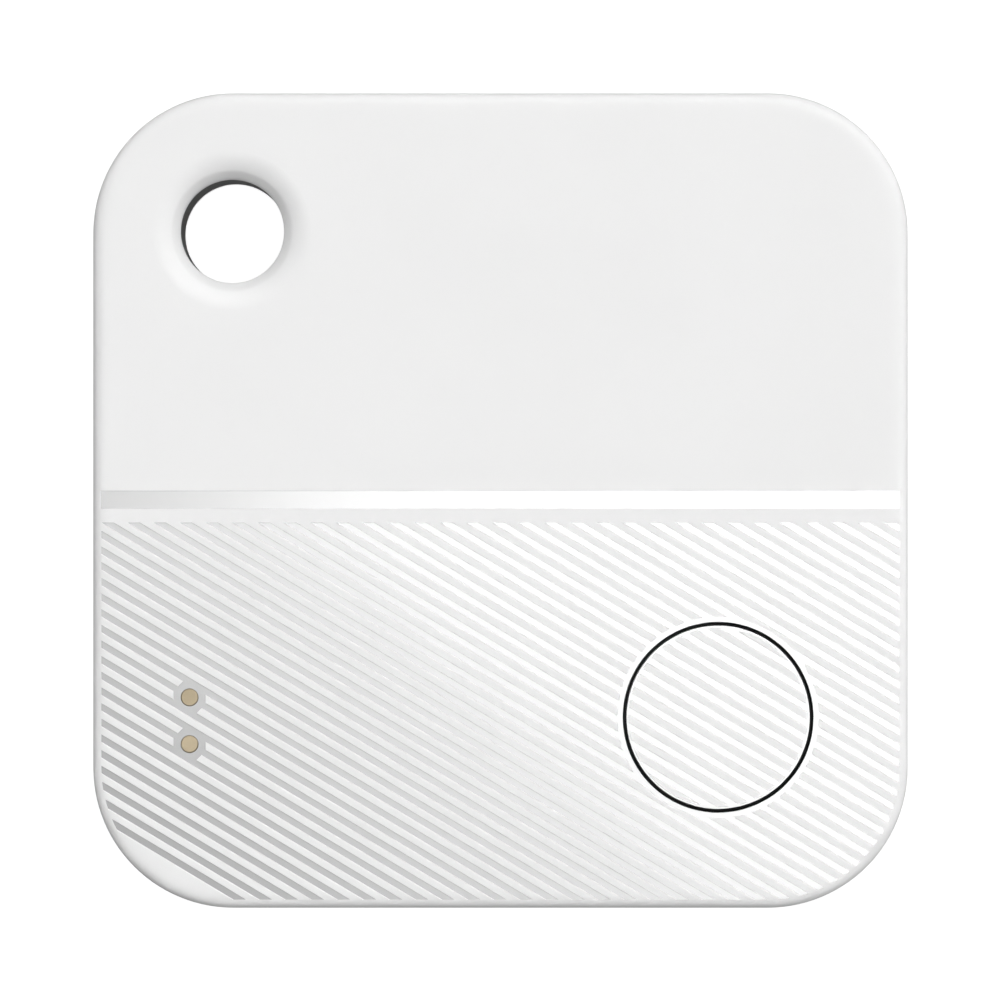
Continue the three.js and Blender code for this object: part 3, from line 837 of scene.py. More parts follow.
class Cut(Enum):
    """How one solid works on another."""

    JOIN = "UNION"
    TAKE = "DIFFERENCE"
    KEEP = "INTERSECT"


def carve(base: bpy.types.Object, how: Cut, tool: bpy.types.Object) -> bpy.types.Object:
    """Works on one solid with another; the cut faces take the tool's finish.

    Args:
        base: the solid that is worked on.
        how: whether the tool is joined, taken away or kept where both are.
        tool: the other solid, which is deleted afterwards.

    Returns:
        The base.
    """
    modifier = base.modifiers.new("carve", "BOOLEAN")
    modifier.operation = how.value
    modifier.object = tool
    modifier.solver = "EXACT"
    modifier.material_mode = "TRANSFER"
    apply_modifiers(base)
    bpy.data.meshes.remove(tool.data)
    return base


# ---- Case -----------------------------------------------------------------------------------------


@dataclass
class Stripes:
    """The field of slanting grooves: raised matte bands with polished grooves between them."""

    slope: float = 31.0
    pitch: float = 0.609
    depth: float = 0.05
    bevel: float = 0.175
    floor_from: float = -0.125
    floor_to: float = 0.16
    first: int = -36
    last: int = 14
    reach: float = 60.0
    over: float = 0.1
    far_lean: float = 0.03

    def comb(self, face: float) -> Surface:
        """Every groove as a long prism.

        Args:
            face: height of the flat face.

        Returns:
            Prisms along the slope; groove m is centred (m + 1/2) pitches from the origin, measured across.
            Their floors have finish 0 and their walls finish 1.
        """
        floor = face - self.depth
        lean = -(self.bevel + self.floor_from) / self.depth
        high = face + self.over
        section = np.array([
            (self.floor_from, floor), (self.floor_to, floor),
            (self.floor_to + self.far_lean, high), (self.floor_from + lean * (high - floor), high),
        ])
        count = self.last - self.first
        centre = (np.arange(self.first, self.last) + 0.5) * self.pitch
        ends = np.array([-self.reach / 2, self.reach / 2])
        shape = (count, 2, 4)
        along = np.broadcast_to(ends[None, :, None], shape)
        across = np.broadcast_to(centre[:, None, None] + section[None, None, :, 0], shape)
        height = np.broadcast_to(section[None, None, :, 1], shape)
        prisms = [loft(points) for points in np.stack([along, across, height], -1)]
        comb = Surface.together(prisms).turned(-self.slope)
        floors = np.tile([0, 1, 1, 1, 1, 1], count)
        return Surface(comb.points, comb.faces, floors)


@dataclass
class Case:
    """The two shells, the sleeve of the key-ring hole and the seal between the shells."""

    corner: float = 6.36
    edge: float = 0.8
    power: float = 3.2
    flat_hold: float = 0.05
    side_wall: float = 1.2
    ceiling: float = 5.5
    seam_low: float = 1.4
    seam_high: float = 1.5
    rear_wall: float = 1.0
    rim_gap: float = 0.1
    rim_width: float = 1.0
    rim_top: float = 2.6
    groove: tuple = (1.7, 2.2, 0.4)
    lip: float = 2.345
    cone_start: float = 0.02
    cone_steps: int = 4
    cone_width: float = 0.38
    cone_slope: float = 1.15
    ease_width: float = 0.92
    ease_depth: float = 0.27
    ease_power: float = 2.2
    ease_stop: float = 0.9
    ease_steps: int = 20
    rear_mouth: float = 3.3
    rear_mouth_depth: float = 0.45
    flare_steps: int = 18
    sleeve_seat: float = 3.0
    sleeve_gap: float = 0.05
    boss: float = 3.7
    boss_low: float = 1.1
    screw_boss: float = 1.3
    screw_bore: float = 0.55
    screw_depth: float = 5.2
    pocket_low: float = 0.5
    pocket_soft: float = 0.5
    into_wall: float = 0.5
    skirt: tuple = ((1.0, 0.0), (0.08, 0.0), (0.02, 0.02), (0.0, 0.08))
    sleeve_bore: float = 2.36
    rim_low: float = 0.5
    rib_half: Pair = (0.5, 0.2)
    rib_low: float = 1.2
    rib_high: float = 1.62
    rib_proud: float = 0.05
    rib_places: Pair = (-6.0, 6.0)
    tray_soft: float = 0.3
    tray_high: float = 4.0
    slot_half: Pair = (3.0, 0.6)
    slot_low: float = 0.8
    slot_high: float = 3.0
    seal_gap: float = 0.05
    seal_soft: float = 0.15
    boss_soft: float = 0.15
    sleeve_soft: float = 0.1
    slot_soft: Pair = (0.15, 0.1)
    rib_soft: Pair = (0.1, 0.05)
    soft: float = 0.06
    lip_drop: float = 0.05
    board_gap: float = 0.02
    hole_high: float = 3.0
    button_hole: float = 4.33
    button_recess: float = 4.57
    pin_hole: float = 0.405
    island: float = 0.725
    island_sides: int = 8
    island_across: float = 0.64
    island_reach: float = 2.0
    bar: tuple = (18.12, -0.37, 0.44)
    field_edge: float = 18.1
    field_top: float = -1.0
    field_corner: float = 6.0
    recess_over: float = 0.3
    recess_extra: float = 0.003
    core: float = 2.0
    stripes: Stripes = field(default_factory=Stripes)
    segments: int = 128
    corner_steps: int = 28
    edge_steps: int = 14

    def __post_init__(self) -> None:
        """Takes the outside, the key-ring hole, the button and the pins from the frame."""
        self.half = Place.of("rear_cover").half[0]
        self.face = Place.of("front_shell").top
        self.key = Place.of("keyring_bush")
        self.button = Place.of("button_cap").middle
        self.pins = [Place.of("contact_pin_upper").middle, Place.of("contact_pin_lower").middle]
        self.screws = [Place.of(f"board_screw_{i}").middle for i in range(1, 5)]
        self.inner = self.half - self.side_wall

    def soft_edge(self, face: float, towards: float) -> np.ndarray:
        """(inset, height) points of the case's edge, from the side wall to the flat face.

        A superellipse: inset = edge (1 - cos(a)^(2/p)), and the height nears the face as sin(a)^(2/p).

        Args:
            face: height of the flat face.
            towards: -1 for a face with its edge below it, 1 for one with its edge above it.

        Returns:
            The points, and one more on the flat face that keeps it flat.
        """
        angle = np.linspace(0.0, 1.0, self.edge_steps + 1) * math.pi / 2
        inset = self.edge * (1 - np.abs(np.cos(angle)) ** (2 / self.power))
        rise = self.edge * np.sin(angle) ** (2 / self.power)
        points = np.stack([inset, face + towards * (self.edge - rise)], -1)
        return np.concatenate([points, [[self.edge + self.flat_hold, face]]])

    def outline(self, profile: np.ndarray, closed: bool = False) -> Surface:
        """Levels of the case's outline."""
        return stacked((self.half, self.half), self.corner, profile, closed, self.corner_steps)

    def rear_flare(self) -> list[Pair]:
        """(radius, height) points of the rear mouth: a quarter of an ellipse from the face to the lip."""
        angle = np.linspace(0.0, 1.0, self.flare_steps + 1) * math.pi / 2
        radius = self.rear_mouth - (self.rear_mouth - self.lip) * np.sin(angle)
        height = self.rear_mouth_depth * (1 - np.cos(angle))
        return list(zip(radius.tolist(), height.tolist()))

    def key_mouth(self) -> np.ndarray:
        """(radius, height) points of the front mouth of the key-ring hole, from the lip out.

        A steep cone first. Beyond it the depth is ease_depth (1 - t)^ease_power, where t goes from 0 towards
        1 as the curve runs out into the flat face.

        Returns:
            The points; the last lies just above the face, so that the cut goes through it cleanly.
        """
        cone = np.linspace(self.cone_start, self.cone_width, self.cone_steps)
        cone_depth = self.ease_depth + self.cone_slope * (self.cone_width - cone)
        t = np.linspace(0.0, self.ease_stop, self.ease_steps)[1:]
        ease_depth = self.ease_depth * (1 - t) ** self.ease_power
        out = np.concatenate([cone, self.cone_width + t * self.ease_width])
        curve = np.stack([self.lip + out, self.face - np.concatenate([cone_depth, ease_depth])], -1)
        end = curve[-1, 0] + 2 * (curve[-1, 0] - curve[-2, 0])
        return np.concatenate([curve, [[end, self.face + self.recess_extra]]])

    def groove_field(self, low: float, high: float) -> bpy.types.Object:
        """The comb of grooves, kept where it lies inside the case's outline and below the bar.

        Args:
            low: height of the grooves' floor.
            high: a height above the face.

        Returns:
            The solid that cuts the grooves.
        """
        comb = mesh_of("groove_comb", self.stripes.comb(self.face), [Look.POLISHED, Look.SHELL])
        over = self.recess_over
        inset = self.half - self.field_edge
        levels = [(inset, low - over), (inset, high + over)]
        region = stacked((self.half, self.half), self.field_corner + inset, levels, steps=self.corner_steps)
        region = mesh_of("groove_region", region, [Look.SHELL])
        width = 2 * self.half
        levels = [(0.0, low - 2 * over), (0.0, high + 2 * over)]
        above = stacked((width, width / 2), self.flat_hold, levels, steps=1)
        above = mesh_of("groove_limit", above.moved(y=self.field_top + width / 2), [Look.SHELL])
        return carve(comb, Cut.KEEP, carve(region, Cut.TAKE, above))

    def islands(self, deeper: float, low: float, high: float) -> list[bpy.types.Object]:
        """The polished many-sided recess round each pin, cut off along two grooves.

        Args:
            deeper: height of the recesses' floor.
            low: height of the grooves' floor.
            high: a height above the face.

        Returns:
            The solid that cuts each recess.
        """
        across_corners = self.island / math.cos(math.pi / self.island_sides)
        island = lathe(post(across_corners, deeper, high), self.island_sides).turned(180 / self.island_sides)
        over = self.recess_over
        levels = [(0.0, low - over), (0.0, high + over)]
        between = stacked((self.island_reach, self.island_across), LEAST_CORNER, levels, steps=1)
        between = between.turned(-self.stripes.slope)
        made = []
        for pin in self.pins:
            cut = mesh_of("island", island.moved(*pin), [Look.POLISHED])
            made.append(carve(cut, Cut.KEEP, mesh_of("island_limit", between.moved(*pin), [Look.SHELL])))
        return made

    def face_recesses(self) -> bpy.types.Object:
        """The solid that cuts the grooves, the bar, the ring round the button and the islands round the pins.

        Returns:
            The solid; the ring and the islands go a hair deeper than the grooves they cross.
        """
        low, high = self.face - self.stripes.depth, self.face + self.recess_over
        deeper = low - self.recess_extra
        tool = self.groove_field(low, high)
        side, bar_low, bar_high = self.bar
        bar = stacked((side, (bar_high - bar_low) / 2), LEAST_CORNER, [(0.0, low), (0.0, high)], steps=1)
        ring = lathe(post(self.button_recess, deeper, high), self.segments, self.button)
        for shape in (bar.moved(y=(bar_low + bar_high) / 2), ring):
            tool = carve(tool, Cut.JOIN, mesh_of("recess", shape, [Look.POLISHED]))
        for island in self.islands(deeper, low, high):
            tool = carve(tool, Cut.JOIN, island)
        return tool

    def front_shell(self) -> None:
        """The front shell, hollowed, bored and cut."""
        skirt = np.array(self.skirt) + [0.0, self.seam_high]
        outside = self.outline(np.concatenate([skirt, self.soft_edge(self.face, -1.0)]))
        shell = mesh_of("front_shell_surface", outside, [Look.SHELL])
        inset = self.half - self.inner
        pocket = [(inset + self.core, self.pocket_low), (inset, self.pocket_low), (inset, self.ceiling),
                  (inset + self.core, self.ceiling)]
        pocket = self.outline(softened(pocket, self.pocket_soft, steps=6))
        carve(shell, Cut.TAKE, mesh_of("pocket", pocket, [Look.INSIDE]))
        self.bosses(shell)
        openings = [(self.button_hole, self.button, self.segments)]
        openings += [(self.pin_hole, pin, SMALL_ROUND) for pin in self.pins]
        for radius, place, segments in openings:
            opening = lathe(post(radius, self.ceiling - THROUGH, self.face + THROUGH), segments, place)
            carve(shell, Cut.TAKE, mesh_of("opening", opening, [Look.POLISHED]))
        carve(shell, Cut.TAKE, self.face_recesses())
        settle(shell, "front_shell")

    def bosses(self, shell: bpy.types.Object) -> None:
        """Adds the boss with the key-ring hole, and the screw bosses as cups with their bores in them.

        Args:
            shell: the front shell, hollowed already.
        """
        inside = self.ceiling + self.into_wall
        boss = softened(post(self.boss, self.boss_low, inside), self.boss_soft)
        boss = lathe(boss, self.segments, self.key.middle)
        carve(shell, Cut.JOIN, mesh_of("key_boss", boss, [Look.INSIDE]))
        shelf = self.key.top + self.sleeve_gap
        mouth = self.key_mouth()
        hole = [(0, 0), (self.sleeve_seat, 0), (self.sleeve_seat, shelf), (self.lip, shelf),
                (self.lip, mouth[0, 1] - self.lip_drop), *mouth.tolist(),
                (mouth[-1, 0], self.face + THROUGH), (0, self.face + THROUGH)]
        carve(shell, Cut.TAKE, mesh_of("key_hole", lathe(hole, self.segments, self.key.middle), [Look.SHELL]))
        board_top = Place.of("main_board").top + self.board_gap
        profile = [(0, self.screw_depth), (self.screw_bore, self.screw_depth), (self.screw_bore, board_top),
                   (self.screw_boss, board_top), (self.screw_boss, inside), (0, inside)]
        for place in self.screws:
            boss = lathe(softened(profile, self.soft), SMALL_ROUND, place)
            carve(shell, Cut.JOIN, mesh_of("screw_boss", boss, [Look.INSIDE]))

    def sleeve(self) -> None:
        """The dark sleeve in the key-ring hole, with rounded ends."""
        profile = band(self.sleeve_bore, self.key.half[0], self.key.bottom, self.key.top)
        sleeve = lathe(softened(profile, self.sleeve_soft, closed=True), self.segments, self.key.middle)
        piece("keyring_bush", sleeve, Look.SLEEVE)

    def rear_cover(self) -> None:
        """The rear shell: soft edge, rim with ribs and seal groove, key-ring hole and pry slot."""
        edge = self.soft_edge(0.0, 1.0)[::-1]
        lip = (np.array(self.skirt) * [1.0, -1.0] + [0.0, self.seam_low])[::-1]
        cover = mesh_of("rear_cover_surface", self.outline(np.concatenate([edge, lip])), [Look.SHELL])
        rim_outer = self.inner - self.rim_gap
        inner = self.half - (rim_outer - self.rim_width)
        core = inner + self.rim_width
        self.rim(cover, rim_outer, core)
        hollow = [(core, self.rear_wall), (inner, self.rear_wall), (inner, self.tray_high),
                  (core, self.tray_high)]
        hollow = self.outline(softened(hollow, self.tray_soft, steps=5))
        carve(cover, Cut.TAKE, mesh_of("tray", hollow, [Look.INSIDE]))
        shelf = self.key.bottom - self.sleeve_gap
        hole = [(0, -THROUGH), (self.rear_mouth, -THROUGH), *self.rear_flare(), (self.lip, shelf),
                (self.sleeve_seat, shelf), (self.sleeve_seat, self.hole_high), (0, self.hole_high)]
        hole = lathe(hole, self.segments, self.key.middle)
        carve(cover, Cut.TAKE, mesh_of("rear_key_hole", hole, [Look.SHELL]))
        slot = brick(self.slot_half, self.slot_low, self.slot_high, *self.slot_soft).moved(0.0, -self.half)
        carve(cover, Cut.TAKE, mesh_of("pry_slot", slot, [Look.SHELL]))
        settle(cover, "rear_cover")

    def rim(self, cover: bpy.types.Object, rim_outer: float, core: float) -> None:
        """Adds the rim that plugs into the front shell, with the seal's groove and two ribs on each side.

        Args:
            cover: the rear cover's outer form.
            rim_outer: half the rim's width, outside.
            core: how far inside the outline the rim's solid reaches before the tray is cut.
        """
        low, high, depth = self.groove
        outer, notch = self.half - rim_outer, self.half - (rim_outer - depth)
        sides = [(core, self.rim_low), (outer, self.rim_low), (outer, low), (notch, low), (notch, high),
                 (outer, high), (outer, self.rim_top), (core, self.rim_top)]
        carve(cover, Cut.JOIN, mesh_of("rim", self.outline(softened(sides, self.soft)), [Look.INSIDE]))
        rib = brick(self.rib_half, self.rib_low, self.rib_high, *self.rib_soft)
        out = rim_outer + self.rib_proud - self.rib_half[1]
        for along in self.rib_places:
            for quarter in range(4):
                made = mesh_of("rib", rib.moved(along, -out).turned(90 * quarter), [Look.INSIDE])
                carve(cover, Cut.JOIN, made)

    def seal(self) -> None:
        """The elastic ring in the rim's groove, round on its outer side."""
        place = Place.of("case_seal")
        outer = self.half - place.half[0]
        inner = self.half - (self.inner - self.rim_gap - self.groove[2] + self.seal_gap)
        profile = [(outer, place.bottom), (outer, place.top), (inner, place.top), (inner, place.bottom)]
        ring = self.outline(softened(profile, self.seal_soft, closed=True), closed=True)
        piece("case_seal", ring, Look.SILICONE)

    def build(self) -> None:
        """Makes every piece of the case."""
        self.front_shell()
        self.sleeve()
        self.rear_cover()
        self.seal()


# ---- Button, switch and contact pins ---------------------------------------------------------------


@dataclass
class Button:
    """The push button with its silicone boot."""

    flat: float = 4.05
    # The cup's black sleeve fills the gap round the cap up to just under the face. It is a real silicone boot,
    # and also painted shade that makes the narrow gap read black.
    gap_shade_sleeve_outer: float = 4.27
    gap_shade_sleeve_top: float = 6.1
    web: Pair = (4.7, 4.95)
    bead_inner: float = 5.4
    foot: Pair = (1.0, 1.1)
    foot_soft: float = 0.1
    fit: float = 0.02
    segments: int = 128
    stripes: Stripes = field(default_factory=Stripes)

    def __post_init__(self) -> None:
        """Takes the button's place from the frame."""
        self.cap_place = Place.of("button_cap")
        self.boot = Place.of("button_membrane")
        self.centre = self.cap_place.middle

    def cap(self) -> None:
        """The cap: a polished rim a groove's depth down, and the grooves in step with the case's."""
        radius, low, face = self.cap_place.half[0], self.cap_place.bottom, self.cap_place.top
        floor = face - self.stripes.depth
        profile = [(0, low), (radius - self.foot_soft, low), (radius, low + self.foot_soft), (radius, floor),
                   (self.flat, floor), (self.flat, face), (0, face)]
        surface = lathe(profile, self.segments, self.centre)
        cap = mesh_of("button_cap_surface", surface, [Look.SHELL, Look.POLISHED])
        carve(cap, Cut.TAKE, mesh_of("cap_comb", self.stripes.comb(face), [Look.POLISHED, Look.SHELL]))
        self.polish(cap, floor)
        settle(cap, "button_cap")

    def polish(self, cap: bpy.types.Object, floor: float) -> None:
        """Gives the polished finish to every face that lies at the height of the grooves' floor.

        Args:
            cap: the cap, cut already.
            floor: height of that floor.
        """
        polygons = cap.data.polygons
        centres = np.zeros(len(polygons) * 3)
        polygons.foreach_get("center", centres)
        heights = centres.reshape(-1, 3)[:, 2]
        finish = np.zeros(len(polygons), np.int32)
        polygons.foreach_get("material_index", finish)
        polished = list(cap.data.materials).index(Look.POLISHED.material())
        finish[np.abs(heights - floor) < self.stripes.depth * 0.1] = polished
        polygons.foreach_set("material_index", finish)

    def membrane(self) -> None:
        """The boot: a cup that wraps the cap and moves with it, and a web that stays on the front wall. The
        cup's black sleeve rises into the gap round the cap, just under the face, as painted shade in that
        narrow gap.
        """
        cap = self.cap_place
        bore, cup = cap.half[0] + self.fit, cap.bottom - self.fit
        low, high = self.web
        profile = [(0, self.boot.bottom), (self.foot[0], self.boot.bottom), (self.foot[1], low),
                   (self.gap_shade_sleeve_outer, low), (self.gap_shade_sleeve_outer, self.gap_shade_sleeve_top), (bore, self.gap_shade_sleeve_top),
                   (bore, cup), (0, cup)]
        made = lathe(softened(profile, 0.05), self.segments, self.centre)
        piece("button_membrane", made, Look.SILICONE, name="button_membrane_cup", body="button")
        inner, outer = self.gap_shade_sleeve_outer + self.fit, self.boot.half[0]
        profile = [(inner, low), (outer, low), (outer, self.boot.top), (self.bead_inner, self.boot.top),
                   (self.bead_inner, high), (inner, high)]
        made = lathe(softened(profile, 0.06, closed=True), self.segments, self.centre)
        piece("button_membrane", made, Look.SILICONE, name="button_membrane_web", body="housing")

    def build(self) -> None:
        """Makes the button."""
        self.cap()
        self.membrane()


@dataclass
class ContactPins:
    """The two gold pins that stand on the board and show through the front wall."""

    head: float = 0.4
    flange: float = 0.7
    stem: float = 0.3
    flange_heights: Pair = (5.22, 5.42)

    def build(self) -> None:
        """Makes both pins."""
        low, high = self.flange_heights
        for node in ("contact_pin_upper", "contact_pin_lower"):
            place = Place.of(node)
            profile = [(0, place.bottom), (self.stem, place.bottom), (self.stem, low), (self.flange, low),
                       (self.flange, high), (self.head, high), (self.head, place.top), (0, place.top)]
            piece(node, lathe(softened(profile, 0.05), SMALL_ROUND, place.middle), Look.GOLD)


# ---- Switch ---------------------------------------------------------------------------------------


@dataclass
class Switch:
    """The dome switch under the button: base, snap dome, cover plate and plunger."""

    well: float = 1.5
    well_floor: float = 3.82
    hole: float = 0.83
    leg_out: float = 1.3
    leg_half: Pair = (0.175, 0.12)
    leg_heights: Pair = (-0.02, 0.18)
    leg_proud: float = 0.05
    dome_keep: float = 0.08

    def base(self) -> None:
        """A square base with a round well, and a tinned leg at each corner."""
        place = Place.of("switch_base")
        block = brick(place.half, place.bottom, place.top, 0.25).moved(*place.middle)
        base = mesh_of("switch_base_surface", block, [Look.HOLDER])
        well = lathe(post(self.well, self.well_floor, place.top + THROUGH), MIDDLE_ROUND, place.middle)
        carve(base, Cut.TAKE, mesh_of("switch_well", well, [Look.HOLDER]))
        settle(base, "switch_base")
        low, high = (place.bottom + height for height in self.leg_heights)
        leg = brick(self.leg_half, low, high, 0.04, 0.03)
        out = place.half[1] + self.leg_proud
        places = [(x, y) for x in (-self.leg_out, self.leg_out) for y in (-out, out)]
        legs = Surface.together([leg.moved(place.middle[0] + x, place.middle[1] + y) for x, y in places])
        detail("switch_legs", legs, "switch_base", "spring_steel", Look.TIN)

    def dome(self) -> None:
        """A thin snap dome."""
        place = Place.of("switch_dome")
        low, top, wide = place.bottom, place.top, place.half[0]
        profile = [(0, top - 0.05), (0.5, top - 0.065), (0.95, top - 0.13), (wide - 0.1, low), (wide, low),
                   (1.0, top - 0.1), (0.55, top - 0.02), (0, top)]
        made = piece("switch_dome", lathe(softened(profile, 0.08), MIDDLE_ROUND, place.middle), Look.SPRING)
        anchor = (place.middle[0] * MM, place.middle[1] * MM, low * MM)
        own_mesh(made)

    def cover(self) -> None:
        """A sheet-metal plate with a round hole for the plunger."""
        place = Place.of("switch_cover")
        plate = brick(place.half, place.bottom, place.top, 0.2).moved(*place.middle)
        cover = mesh_of("switch_cover_surface", plate, [Look.SHIELD])
        hole = lathe(post(self.hole, place.bottom - THROUGH, place.top + THROUGH), MIDDLE_ROUND, place.middle)
        carve(cover, Cut.TAKE, mesh_of("plunger_hole", hole, [Look.SHIELD]))
        settle(cover, "switch_cover")

    def build(self) -> None:
        """Makes the switch."""
        self.base()
        self.dome()
        self.cover()
        disc("switch_plunger", Look.HOLDER, 0.14, steps=5, segments=MIDDLE_ROUND)


# ---- Board ----------------------------------------------------------------------------------------


@dataclass
class Board:
    """The board, its screws and the parts soldered on it."""

    corner: float = 4.76
    key_clearance: float = 4.1
    cell_hole: float = 10.8
    screw_hole: float = 0.7
    copper: float = 0.02
    land_radius: float = 1.25
    pad_radius: float = 0.45
    notch: float = 10.0
    thread_pitch: float = 0.3
    thread_root: float = 0.42
    thread_crest: float = 0.5
    cross: Pair = (0.6, 0.11)
    cross_depth: float = 0.3
    chip_land_pitch: float = 0.6
    antenna_lean: float = 24.0
    antenna_pitch: float = 0.54
    coil_turns: int = 9
    coil_radius: float = 0.95
    wire: float = 0.04
    test_pads: tuple = ((-14.6, -12.6), (-12.9, -14.2), (-3.2, -15.4), (-0.9, -15.4), (15.4, 2.6),
                        (15.4, 4.2))

    def __post_init__(self) -> None:
        """Takes the board's place from the frame."""
        self.place = Place.of("main_board")
        self.key = Place.of("keyring_bush").middle
        self.cell = Place.of("battery_can").middle
        self.screws = [f"board_screw_{i}" for i in range(1, 5)]
        self.chips = ["radio_chip", "crystal_main", "crystal_sleep", "chip_antenna", "buzzer_inductor"]
        self.small = [f"capacitor_{i}" for i in range(1, 7)] + [f"resistor_{i}" for i in range(1, 5)]

    def drill(self, board: bpy.types.Object, centre: Pair, radius: float) -> None:
        """Bores a round hole through the board."""
        hole = lathe(post(radius, self.place.bottom - THROUGH, self.place.top + THROUGH), LARGE_ROUND, centre)
        carve(board, Cut.TAKE, mesh_of("bore", hole, [Look.BOARD]))

    def plate(self) -> None:
        """The laminate, without its corner at the key-ring hole, bored for the cell and the screws."""
        low, high = self.place.bottom, self.place.top
        half = self.place.half
        outline = softened([(2.0, low), (0.0, low), (0.0, high), (2.0, high)], 0.04)
        board = mesh_of("main_board_surface", stacked(half, self.corner, outline, steps=14), [Look.BOARD])
        x, y = self.key
        size, reach = self.notch, self.key_clearance
        for middle_x, middle_y in ((x - size, y + size - reach), (x + reach - size, y + size)):
            levels = [(0.0, low - THROUGH), (0.0, high + THROUGH)]
            block = stacked((size, size), LEAST_CORNER, levels, steps=1)
            carve(board, Cut.TAKE, mesh_of("notch", block.moved(middle_x, middle_y), [Look.BOARD]))
        self.drill(board, self.key, reach)
        self.drill(board, self.cell, self.cell_hole)
        for screw in self.screws:
            self.drill(board, Place.of(screw).middle, self.screw_hole)
        settle(board, "main_board")

    def lands(self) -> None:
        """Gold-plated copper: rings at the screws on both sides, test pads, lands under the parts' ends."""
        low, high = self.place.bottom, self.place.top
        thin = self.copper / 2
        rings = []
        for level in (low - thin, high):
            profile = band(self.screw_hole + 0.02, self.land_radius, level, level + thin)
            rings += [lathe(profile, SMALL_ROUND, Place.of(screw).middle) for screw in self.screws]
        pads = [lathe(post(self.pad_radius, low - thin, low), 32, pad) for pad in self.test_pads]
        lands = []
        for node in self.small:
            place = Place.of(node)
            across = place.half[0]
            land = brick((0.2, place.half[1] + 0.05), high, high + self.copper * 0.9, 0.03, 0.005)
            lands += [land.moved(place.middle[0] + side * across, place.middle[1]) for side in (-1, 1)]
        detail("board_lands", Surface.together(rings + pads + lands), "main_board", "gold_plate", Look.GOLD)

    def screw(self, node: str) -> None:
        """A cross-headed screw, head down: rounded head, threaded shank and blunt point.

        The shank's radius steps between root and crest once in each thread pitch.

        Args:
            node: the screw's CAD node.
        """
        place = Place.of(node)
        head, low, top = place.half[0], place.bottom, place.top
        under = self.place.bottom - 0.02
        pitch, root, crest = self.thread_pitch, self.thread_root, self.thread_crest
        count = int((top - 0.35 - under) / pitch)
        steps = under + np.repeat(np.arange(count) * pitch, 2) + np.tile([0.05, 0.2], count)
        thread = list(zip(np.tile([root, crest], count).tolist(), steps.tolist()))
        crown = softened([(0, low), (head - 0.05, low), (head, under), (crest * 0.95, under)], 0.2, steps=5)
        profile = [*crown.tolist(), *thread, (root, top - 0.3), (0.2, top), (0, top)]
        screw = mesh_of(f"{node}_surface", lathe(profile, SMALL_ROUND, place.middle), [Look.SCREW])
        levels = [(0.0, low - 0.5), (0.0, low), (0.06, low + self.cross_depth)]
        slot = stacked(self.cross, 0.05, levels, steps=3)
        for turn in (0, 90):
            carve(screw, Cut.TAKE, mesh_of("recess", slot.turned(turn).moved(*place.middle), [Look.SCREW]))
        settle(screw, node)

    def two_ended(self, node: str, cap: float, body: Look, top: Look | None = None) -> None:
        """A chip part with a tinned end at each side.

        Args:
            node: the part's CAD node.
            cap: length of each end.
            body: the finish between the ends.
            top: the finish of the printed top, if it has one.
        """
        place = Place.of(node)
        (wide, deep), low, high = place.half, place.bottom, place.top
        parts = [brick((wide - cap * 0.8, deep - 0.015), low + 0.01, high - 0.02, 0.03, 0.02)]
        end = brick((cap / 2, deep), low, high, 0.05, 0.04).finished(1)
        parts += [end.moved(side * (wide - cap / 2)) for side in (-1, 1)]
        looks = [body, Look.TIN]
        if top is not None:
            parts.append(brick((wide - cap, deep - 0.03), high - 0.03, high - 0.005, 0.02, 0.008).finished(2))
            looks.append(top)
        piece(node, Surface.together(parts).moved(*place.middle), *looks)

    def radio_chip(self) -> None:
        """A flat square chip: resin body, a row of tinned lands round its foot and a corner dot."""
        place = Place.of("radio_chip")
        half, low, high = place.half[0], place.bottom, place.top
        parts = [brick((half - 0.02, half - 0.02), low, high - 0.01, 0.08)]
        land = brick((0.14, 0.1), low, low + 0.2, 0.03, 0.02).finished(1)
        for quarter in range(4):
            for step in range(-3, 4):
                parts.append(land.moved(step * self.chip_land_pitch, half - 0.1).turned(90 * quarter))
        dot = lathe(post(0.22, high - 0.05, high), 32, (0.6 - half, half - 0.6))
        parts.append(dot.finished(2))
        piece("radio_chip", Surface.together(parts).moved(*place.middle), Look.RESIN, Look.TIN, Look.HOLDER)

    def crystal(self, node: str) -> None:
        """A ceramic tray with a seam-welded metal lid and gold castellations at its corners.

        Args:
            node: the crystal's CAD node.
        """
        place = Place.of(node)
        (wide, deep), low, high = place.half, place.bottom, place.top
        waist = low + (high - low) * 0.6
        parts = [brick((wide - 0.01, deep - 0.01), low, waist, 0.12).finished(1)]
        parts.append(brick((wide - 0.12, deep - 0.12), waist - 0.02, high, 0.15))
        corner = brick((0.22, 0.2), low - 0.005, low + 0.14, 0.04, 0.02).finished(2)
        parts += [corner.moved(x * (wide - 0.22), y * (deep - 0.2)) for x in (-1, 1) for y in (-1, 1)]
        piece(node, Surface.together(parts).moved(*place.middle), Look.SHIELD, Look.CERAMIC, Look.GOLD)

    def antenna(self) -> None:
        """A ceramic bar with tinned ends and a printed zigzag along its top."""
        place = Place.of("chip_antenna")
        (wide, deep), low, high = place.half, place.bottom, place.top
        parts = [brick((wide - 0.1, deep), low, high - 0.01, 0.06)]
        end = brick((0.25, deep), low, high, 0.06).finished(1)
        parts += [end.moved(side * (wide - 0.25)) for side in (-1, 1)]
        lean = self.antenna_lean
        run = brick((0.07, deep - 0.12), high - 0.02, high, 0.03, 0.005).finished(1)
        for step in range(-5, 6):
            parts.append(run.turned(lean if step % 2 else -lean).moved(step * self.antenna_pitch))
        piece("chip_antenna", Surface.together(parts).moved(*place.middle), Look.CERAMIC, Look.TIN)

